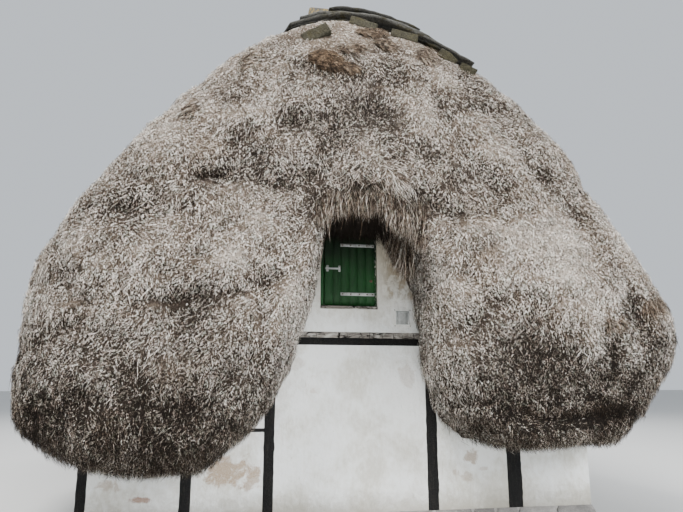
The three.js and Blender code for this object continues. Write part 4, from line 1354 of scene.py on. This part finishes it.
def build_locks():
    points, tones, rusts = [], [], []
    for *shape, paler, rust in LOCKS:
        strands = lock_strands(*shape)
        count = len(strands)
        shade = LOCK_TONE + paler + random.normal(0, 0.12, count) + random.choice((-0.24, 0.14), count)
        points.append(strands)
        # Darker at the first end and paler at the tip: painted shade and painted light
        tones.append((shade[:, None] + np.array([-0.25, 0.0, 0.0, 0.08])).ravel())
        rusts.append(np.full(4 * count, rust))
    attributes = {"tone": np.clip(np.concatenate(tones), 0, 1), "rust": np.concatenate(rusts)}
    fibre_piece("seaweed_locks", np.concatenate(points), BENT_FACES, attributes)


def build_fibres():
    for number, (count, on_front, bent) in enumerate(FIBRE_PIECES, 1):
        fibre_cloud(f"seaweed_fibres_{number}", count, on_front, bent)


build_fibres()
build_fringe()
build_locks()


# The turf on the ridge

LAYERS_PER_COURSE = 2
# In metres: the width of a strip, the thickness of a course, how far the strips' ends vary, how far each
# layer is set in, and the lengths of a strip's faces
TURF_ROW = 0.42
COURSE = 0.098
END_SPREAD = (-0.02, 0.13)
LAYER_IN = 0.03
STRIP_FACE = 0.075
# How much shorter each course is on the left at the ridge's front end, and how far its end droops there
FRONT_ENDS = ((-0.06, 0.0), (0.02, 0.0), (0.24, 0.02))
DROOPS_OVER = 0.30


def saddle_height(node):
    """The height of a turf course's domed top over the house, as a function of x"""
    points, _, _ = mesh_arrays(NODES[node])
    end = points[np.abs(points[:, 1] - points[:, 1].max()) < 1e-3]
    dome = []
    for x, z in sorted({(round(x, 4), round(z, 4)) for x, _, z in end}):
        while len(dome) > 1 and not bends_down(dome[-2], dome[-1], (x, z)):
            dome.pop()
        dome.append((x, z))
    places, tops = np.array(dome).T
    return lambda x: np.interp(x, places, tops)


def bends_down(first, middle, last):
    rise = (middle[1] - first[1]) * (last[0] - middle[0])
    return rise > (last[1] - middle[1]) * (middle[0] - first[0])


def turf_strip(low_x, high_x, y, width, top, depth, thick, droop, seed):
    """One long turf laid over the ridge: it sags between its bumps, and thins and droops at its ends"""
    length = high_x - low_x
    across = max(4, int(length / STRIP_FACE))
    points, faces = pillow_slab((0, 0, 0), length, width, thick, np.eye(3), seed, 0.009, 0.020, across)
    place = points + np.array([(low_x + high_x) / 2, y, 0.0])
    to_end = np.minimum(place[:, 0] - low_x, high_x - place[:, 0])
    thinner = 0.65 + 0.35 * ease(to_end, -0.02, 0.16)
    place[:, 2] = place[:, 2] * thinner + top(place[:, 0]) - depth
    place[:, 2] -= droop * (1 - ease(place[:, 0] - low_x, -0.1, DROOPS_OVER))
    wave = np.stack([place[:, 0] / 0.42, place[:, 1] / 1.6, np.full(len(place), depth * 9)], axis=1)
    place[:, 2] += 0.016 * smooth_noise(wave, 1.0, seed % 97)
    place[:, 1] += 0.035 * smooth_noise(wave, 1.0, seed % 89 + 3)
    return place, faces


def turf_layer(heap, node, layer, seed, shorter, droop):
    low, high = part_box(node)
    top = saddle_height(node)
    thick = COURSE / LAYERS_PER_COURSE
    rows = int((high.y - low.y) / TURF_ROW)
    width = (high.y - low.y) / rows
    for row in range(rows):
        y = mix(low.y, high.y, (row + 0.5) / rows) + LAYER_IN * layer + random.uniform(-0.012, 0.012)
        in_front = ease(-y, 3.2, 3.6)
        start = low.x + random.uniform(*END_SPREAD) + LAYER_IN * layer + shorter * in_front
        end = high.x - random.uniform(*END_SPREAD) - LAYER_IN * layer
        depth = thick * (layer + 0.5) - 0.012 + random.uniform(-0.004, 0.004)
        sides = (y, width * 1.05)
        strip = turf_strip(start, end, *sides, top, depth, thick * 0.86, droop * in_front, seed + 7 * row)
        heap.add(*strip, random.uniform(0.15, 0.85))


def build_turf():
    for k, (shorter, droop) in enumerate(FRONT_ENDS, 1):
        heap = Heap()
        for layer in range(LAYERS_PER_COURSE):
            turf_layer(heap, f"turf_course_{k}", layer, 50 * k + layer, shorter, droop)
        heap.piece(f"ridge_turves_{k}", TURF, "turf", [f"turf_course_{k}"])


build_turf()

# Single turves on the thatch under the ridge's front end: across and down in the picture, length in
# metres, and lean in degrees
LOOSE_TURVES = (
    (316, 35, 0.36, 32),
    (363, 24, 0.36, -16),
    (404, 36, 0.36, -10),
    (446, 53, 0.26, -44),
    (467, 66, 0.22, -30),
)
LOOSE_WIDTH = 0.15
LOOSE_THICK = 0.07


def build_loose_turves():
    heap = Heap()
    for k, (across, down, length, lean) in enumerate(LOOSE_TURVES):
        place, normal = seen_on(across, down)
        normal = unit(normal + 0.7 * unit(np.array(CAMERA_PLACE) - place))
        along = lean_in_picture(math.radians(lean))
        along = unit(along - normal * (along @ normal))
        axes = (along, np.cross(normal, along), normal)
        block = (length, LOOSE_WIDTH, LOOSE_THICK)
        slab = pillow_slab(place + normal * 0.01, *block, axes, 900 + 13 * k, 0.007, 0.007, 10, 6)
        heap.add(*slab, random.uniform(0.1, 0.45))
    heap.piece("loose_turves", LOOSE_TURF, "turf")


build_loose_turves()


# Timbers and walls

POST_NUMBERS = range(1, 6)
# Tarred timbers: piece, node, seed, length of a cut and how far the tar spreads
TARRED_TIMBERS = (
    *((f"hewn_post_{k}", f"front_post_{k}", 100 + k, 0.022, 0.012) for k in POST_NUMBERS),
    ("hewn_tie_beam", "front_tie_beam", 120, 0.025, 0.008),
    ("hewn_rail", "front_rail", 130, 0.025, 0.006),
)
GREY_TIMBERS = (
    ("weathered_gable_sill", "front_gable_sill", 140, 0.045, 0.0),
    ("weathered_hatch_sill", "hatch_sill", 150, 0.045, 0.0),
)


def build_timbers(timbers, look, slot):
    for name, node, seed, step, spread in timbers:
        heap = Heap()
        heap.add(*hewn_beam(*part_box(node), seed, step, spread=spread))
        heap.piece(name, look, slot, [node])


def dress(look, *nodes):
    """Gives CAD nodes a better material in place of their plain one"""
    for node in nodes:
        slots = NODES[node].material_slots
        if not slots:
            NODES[node].data.materials.append(look)
        for slot in slots:
            slot.material = look


def nodes_with(ending):
    return [name for name in NODES if name.endswith(ending)]


build_timbers(TARRED_TIMBERS, TARRED, "black_timber")
build_timbers(GREY_TIMBERS, GREY_TIMBER, "grey_timber")
dress(LIMEWASH_FRONT, "front_gable_wall", *(f"front_panel_{k}" for k in POST_NUMBERS))
dress(LIMEWASH, "back_wall", "left_wall_infill", "right_wall_infill", "chimney_stack")
dress(TARRED, "back_timber_frame", "left_wall_timber_frame", "right_wall_timber_frame")
dress(GLASS, *nodes_with("_glass"))
dress(GREEN, *(name for name in nodes_with("_frame") if "timber" not in name))
dress(CLAY_FLOOR, "ground_floor")
dress(BOARDS, "loft_floor")


# Boards, iron and openings

# In metres, apart from counts, shares and places
BOARD = 0.102
SEAM = 0.0025
BOARD_STEP = 0.003
BACKING_DEPTH = 0.012
BACKING_MARGIN = 0.001
GLAZING_BAR = 0.022
GLAZING_PROUD = 0.012
STRAP_BOLTS = (0.06, 0.3, 0.55, 0.78, 0.95)
JAMB_GAP = 0.006
# The knob's x and z
KNOB_PLACE = (0.252, 2.742)
LATCH_BAR_HALF = 0.011
LATCH_BAR_BACK = 0.003
# How far from the latch's ends its two plates start and end
LEFT_PLATE = (0.014, 0.040)
RIGHT_PLATE = (0.026, 0.0)
VENT_RIM = 0.018
LOUVRES = 10
LOUVRE_SHARE = 0.80
LOUVRE_BACK = 0.003
VENT_BACK = 0.002
SCREW_AWAY = 0.014
BOLT_SIDES = 10
# The rings of a bolt's head, as shares of its radius and its height
BOLT_RINGS = ((1.0, -0.002), (1.0, 0.5), (0.8, 0.85), (0.35, 1.0))


def set_back(box, axis, sign, depth):
    """Moves a box's face on one side of an axis inwards"""
    box[int(sign > 0)][axis] -= sign * depth


def boarded_leaf(name, node, axis, sign):
    """Upright boards with seams between them, in the box of a leaf that faces along an axis"""
    low, high = corners_of(node)
    across = 1 - axis
    count = max(1, round((high[across] - low[across]) / BOARD))
    edges = mix(low[across], high[across], np.arange(count + 1) / count)
    heap = Heap()
    for k in range(count):
        box = [low.copy(), high.copy()]
        box[0][across] = edges[k] + SEAM / 2
        box[1][across] = edges[k + 1] - SEAM / 2
        set_back(box, axis, sign, random.uniform(0, BOARD_STEP))
        board = hewn_beam(*box, 300 + k, step=0.12, bevel=0.0008, wobble=0.0)
        heap.add(*board, random.uniform(0.2, 0.8))
    margin = BACKING_MARGIN * (1 + np.eye(3)[across])
    backing = [low + margin, high - margin]
    set_back(backing, axis, sign, BACKING_DEPTH)
    heap.add(*bar(*backing, 0.001), 0.0)
    heap.piece(name, GREEN, "green_paint", [node])


def add_bar(heap, xs, ys, zs, bevel=0.003, value=0.5):
    """Adds a bar between two values of x, of y and of z"""
    heap.add(*bar(*zip(xs, ys, zs), bevel), value)


def add_bolts(heap, xs, y, zs, radius=0.009, height=0.006):
    """Adds round bolt heads that face the front, one at each pair of x and z"""
    angle = np.arange(BOLT_SIDES) / BOLT_SIDES * 2 * math.pi
    circle = np.stack([np.cos(angle) * radius, 0 * angle, np.sin(angle) * radius], axis=1)
    for x, z in [(x, z) for x in xs for z in zs]:
        rings = [circle * share + np.array([x, y - height * rise, z]) for share, rise in BOLT_RINGS]
        heap.add(*ring_skin(rings))


def build_straps():
    for side in ("upper", "lower"):
        low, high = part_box(f"hatch_strap_{side}")
        strap, bolts = Heap(), Heap()
        strap.add(*bar(low, high, 0.002))
        strap.piece(f"strap_hinge_{side}", GREY_METAL, "grey_metal", [f"hatch_strap_{side}"])
        add_bolts(bolts, [mix(low.x, high.x, share) for share in STRAP_BOLTS], low.y, [(low.z + high.z) / 2])
        bolts.piece(f"strap_bolts_{side}", RUST, "grey_metal")


def build_hatch_frame():
    """The hatch's jambs and head, their paint chipped to white on the right"""
    low, high = corners_of("hatch_frame")
    leaf_low, leaf_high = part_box("hatch_leaf")
    left, right = leaf_low.x - JAMB_GAP, leaf_high.x + JAMB_GAP
    green, chipped = Heap(), Heap()
    green.add(*hewn_beam(low, (left, high[1], high[2]), 410), 0.7)
    green.add(*hewn_beam((left, low[1], leaf_high.z), (right, high[1], high[2]), 420), 0.3)
    green.piece("hatch_jamb_left", GREEN, "green_paint", ["hatch_frame"])
    chipped.add(*hewn_beam((right, low[1], low[2]), high, 430), 0.3)
    chipped.piece("hatch_jamb_right", CHIPPED_GREEN, "green_paint")


def build_knob():
    """The small rusty ring plate at the hatch's right, above its middle"""
    heap = Heap()
    x, z = KNOB_PLACE
    add_bolts(heap, [x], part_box("hatch_leaf")[0].y, [z], 0.019, 0.014)
    heap.piece("hatch_knob", RUST, "grey_metal")


def build_latch():
    """A bar between two plates with screws"""
    (left, front, low), (right, back, high) = corners_of("hatch_latch")
    middle = (low + high) / 2
    heap, screws = Heap(), Heap()
    bar_zs = (middle - LATCH_BAR_HALF, middle + LATCH_BAR_HALF)
    add_bar(heap, (left, right), (front + LATCH_BAR_BACK, back), bar_zs)
    plates = [[left + away for away in LEFT_PLATE], [right - away for away in RIGHT_PLATE]]
    for plate in plates:
        add_bar(heap, plate, (front, back), (low, high))
    heap.piece("hatch_latch_bar", GREY_METAL, "grey_metal", ["hatch_latch"])
    add_bolts(screws, [sum(plate) / 2 for plate in plates], front, (low + 0.012, high - 0.012), 0.005, 0.003)
    screws.piece("latch_screws", RUST, "grey_metal")


def build_vent():
    """A rim round thin louvres before a dark back, held by four screws"""
    (left, front, low), (right, back, high) = corners_of("vent_grille")
    ys, zs = (front, back), (low, high)
    inner_xs, inner_zs = (left + VENT_RIM, right - VENT_RIM), (low + VENT_RIM, high - VENT_RIM)
    heap, depth, screws = Heap(), Heap(), Heap()
    add_bar(heap, (left, inner_xs[0]), ys, zs)
    add_bar(heap, (inner_xs[1], right), ys, zs)
    add_bar(heap, inner_xs, ys, (low, inner_zs[0]))
    add_bar(heap, inner_xs, ys, (inner_zs[1], high))
    pitch = (inner_zs[1] - inner_zs[0]) / LOUVRES
    for k in range(LOUVRES):
        z = inner_zs[0] + pitch * k
        add_bar(heap, inner_xs, (front + LOUVRE_BACK, back), (z, z + pitch * LOUVRE_SHARE), 0.001)
    heap.piece("vent_louvres", GREY_METAL, "grey_metal", ["vent_grille"])
    add_bar(depth, inner_xs, (back - VENT_BACK, back), inner_zs, 0.001)
    depth.piece("vent_depth", GREY_METAL, "grey_metal")
    screw_xs, screw_zs = (left - SCREW_AWAY, right + SCREW_AWAY), (low - SCREW_AWAY, high + SCREW_AWAY)
    add_bolts(screws, screw_xs, back, screw_zs, 0.006, 0.004)
    screws.piece("vent_screws", RUST, "grey_metal")


def build_window_bars():
    """Two upright bars and one level bar in each window"""
    for node in nodes_with("_glass"):
        low, high = corners_of(node)
        xs = (low[0] - GLAZING_PROUD, high[0] + GLAZING_PROUD)
        heap = Heap()
        for share in (1 / 3, 2 / 3):
            y = mix(low[1], high[1], share)
            add_bar(heap, xs, (y - GLAZING_BAR / 2, y + GLAZING_BAR / 2), (low[2], high[2]))
        z = (low[2] + high[2]) / 2
        add_bar(heap, xs, (low[1], high[1]), (z - GLAZING_BAR / 2, z + GLAZING_BAR / 2))
        heap.piece(node.replace("_glass", "_bars"), GREEN, "green_paint")


boarded_leaf("hatch_boards", "hatch_leaf", 1, -1)
build_straps()
build_hatch_frame()
build_knob()
build_latch()
build_vent()
boarded_leaf("back_hatch_boards", "back_hatch_leaf", 1, 1)
boarded_leaf("door_boards", "right_wall_door_leaf", 0, 1)
build_window_bars()


# The stone foot of the walls and the chimney's head

# In metres
STONE_LENGTHS = (0.24, 0.5)
STONE_DEPTH = 0.25
MORTAR_IN = 0.03
SHELF_HEIGHT = 0.07
FLUE_WIDTH = 0.26
# The widths of the chimney's shelf, and of the block over it at its foot and at its top
SHELF_WIDTH, BLOCK_WIDTH, TOP_WIDTH = 0.640, 0.730, 0.690
CAP_EDGE = 0.02
CAP_PER_SIDE = 5


def build_plinth():
    """Fieldstones in a ring, each with its own size, bedded on mortar"""
    low, high = corners_of("stone_plinth")
    height = high[2]
    heap = Heap()
    ring = np.array([low[:2], (high[0], low[1]), high[:2], (low[0], high[1])])
    for start, end in zip(ring, np.roll(ring, -1, 0)):
        length = np.linalg.norm(end - start)
        ahead = (end - start) / length
        inward = np.array([-ahead[1], ahead[0]])
        axes = (np.append(ahead, 0), np.append(inward, 0), np.array([0, 0, 1.0]))
        at = 0.0
        while at < length - 0.1:
            size = min(random.uniform(*STONE_LENGTHS), length - at)
            middle = start + ahead * (at + size / 2) + inward * STONE_DEPTH / 2
            block = (size * 1.01, STONE_DEPTH, height)
            seed = 700 + int(at * 50)
            points, faces = pillow_slab((*middle, height / 2), *block, axes, seed, 0.008, 0.025, 4, 3)
            points[:, 2] = np.clip(points[:, 2], 0.0, height - 0.0005)
            heap.add(points, faces, random.uniform(0.2, 0.9))
            at += size
    xs = (low[0] + MORTAR_IN, low[0] + STONE_DEPTH, high[0] - STONE_DEPTH, high[0] - MORTAR_IN)
    ys = (low[1] + MORTAR_IN, low[1] + STONE_DEPTH, high[1] - STONE_DEPTH, high[1] - MORTAR_IN)
    zs = (0.0, height - 0.001)
    add_bar(heap, xs[::3], ys[:2], zs, value=0.95)
    add_bar(heap, xs[::3], ys[2:], zs, value=0.95)
    add_bar(heap, xs[:2], ys[1:3], zs, value=0.95)
    add_bar(heap, xs[2:], ys[1:3], zs, value=0.95)
    heap.piece("plinth_stones", FIELDSTONE, "fieldstone", ["stone_plinth"], smooth=True)


def square_ring(width, z):
    """Points round a square of a chimney's width, none of them in its corners"""
    half = width / 2
    steps = [mix(-half + CAP_EDGE, half - CAP_EDGE, k / (CAP_PER_SIDE - 1)) for k in range(CAP_PER_SIDE)]
    sides = ((1, 0), (0, 1), (-1, 0), (0, -1))
    return [(ux * half - uy * t, uy * half + ux * t, z) for ux, uy in sides for t in steps]


def build_chimney_cap():
    """The mortared head: a shelf, a flared block and a flue, with worn edges"""
    low, high = corners_of("chimney_cap")
    middle = (*(low[:2] + high[:2]) / 2, 0)
    foot, shelf, top = low[2], low[2] + SHELF_HEIGHT, high[2]
    levels = [
        (FLUE_WIDTH, foot),
        (SHELF_WIDTH - 0.03, foot),
        (SHELF_WIDTH, foot + 0.015),
        (SHELF_WIDTH, shelf - 0.012),
        (BLOCK_WIDTH - 0.03, shelf),
        (BLOCK_WIDTH, shelf + 0.02),
        *((mix(BLOCK_WIDTH, TOP_WIDTH, share), mix(shelf, top, share)) for share in (0.35, 0.7)),
        (TOP_WIDTH, top - 0.02),
        (TOP_WIDTH - 0.05, top),
        (FLUE_WIDTH + 0.03, top),
        (FLUE_WIDTH, top - 0.02),
        (FLUE_WIDTH, foot + 0.005),
    ]
    rings = np.array([square_ring(width, z) for width, z in levels]) + np.array(middle)
    points = rings.reshape(-1, 3)
    points = points + 0.007 * np.stack([rough_noise(points, 0.11, 810 + k) for k in range(3)], axis=1)
    points[:, 2] = np.clip(points[:, 2], foot + 0.0005, top)
    here = np.arange(len(points)).reshape(rings.shape[:2])
    above = np.roll(here, -1, 0)
    beside, across = np.roll(here, -1, 1), np.roll(above, -1, 1)
    faces = np.stack([here, beside, across, here, across, above], axis=-1).reshape(-1, 3)
    heap = Heap()
    heap.add(points, faces, 0.6)
    heap.piece("chimney_head", SHADED_CHIMNEY_STONE, "chimney_stone", ["chimney_cap"])


build_plinth()
build_chimney_cap()


# Floor, lights and camera

FLOOR_HALF = 150.0
FLOOR_COLOR = (0.55, 0.55, 0.54)
SKY_COLOR = (0.80, 0.86, 0.93)
SKY_STRENGTH = 0.9
# Name, place, target, diameter, power and colour of each light
LIGHTS = (
    ("key", (-6, -12, 17), (0, -3, 3), 9, 7500, (1.0, 0.985, 0.96)),
    ("fill", (10, -15, 9), (0, -3, 2.5), 10, 3300, (0.98, 0.99, 1.0)),
    ("front", (-2, -16, 3), (0, -4.5, 2.6), 6, 200, (1.0, 0.99, 0.97)),
    ("back", (3, 16, 15), (0, 0, 4), 10, 4200, (1.0, 1.0, 1.0)),
)


def build_stage():
    corners = [(-1, -1, 0), (1, -1, 0), (1, 1, 0), (-1, 1, 0)]
    floor = new_object("floor", face_mesh("floor", np.array(corners) * FLOOR_HALF, [(0, 1, 2, 3)]))
    floor.data.materials.append(Look("pale_floor", 0.9, 0.1).finished(FLOOR_COLOR))


def build_lights():
    for name, place, target, size, power, color in LIGHTS:
        data = bpy.data.lights.new(name, "AREA")
        data.shape = "DISK"
        data.size = size
        data.energy = power
        data.color = color
        light = new_object(name, data)
        light.location = place
        light.rotation_euler = (Vector(target) - Vector(place)).to_track_quat("-Z", "Y").to_euler()
    world = bpy.data.worlds.new("studio")
    bpy.context.scene.world = world
    world.use_nodes = True
    backdrop = world.node_tree.nodes["Background"]
    backdrop.inputs["Color"].default_value = rgb(SKY_COLOR)
    backdrop.inputs["Strength"].default_value = SKY_STRENGTH


def build_camera():
    data = bpy.data.cameras.new("camera")
    data.sensor_width = SENSOR
    data.lens = SENSOR * FOCAL_PIXELS / IMAGE_WIDTH
    camera = new_object("camera", data)
    camera.location = CAMERA_PLACE
    camera.rotation_euler = (math.radians(90 + CAMERA_PITCH), 0, math.radians(-CAMERA_YAW))
    bpy.context.scene.camera = camera


build_stage()
build_lights()
build_camera()
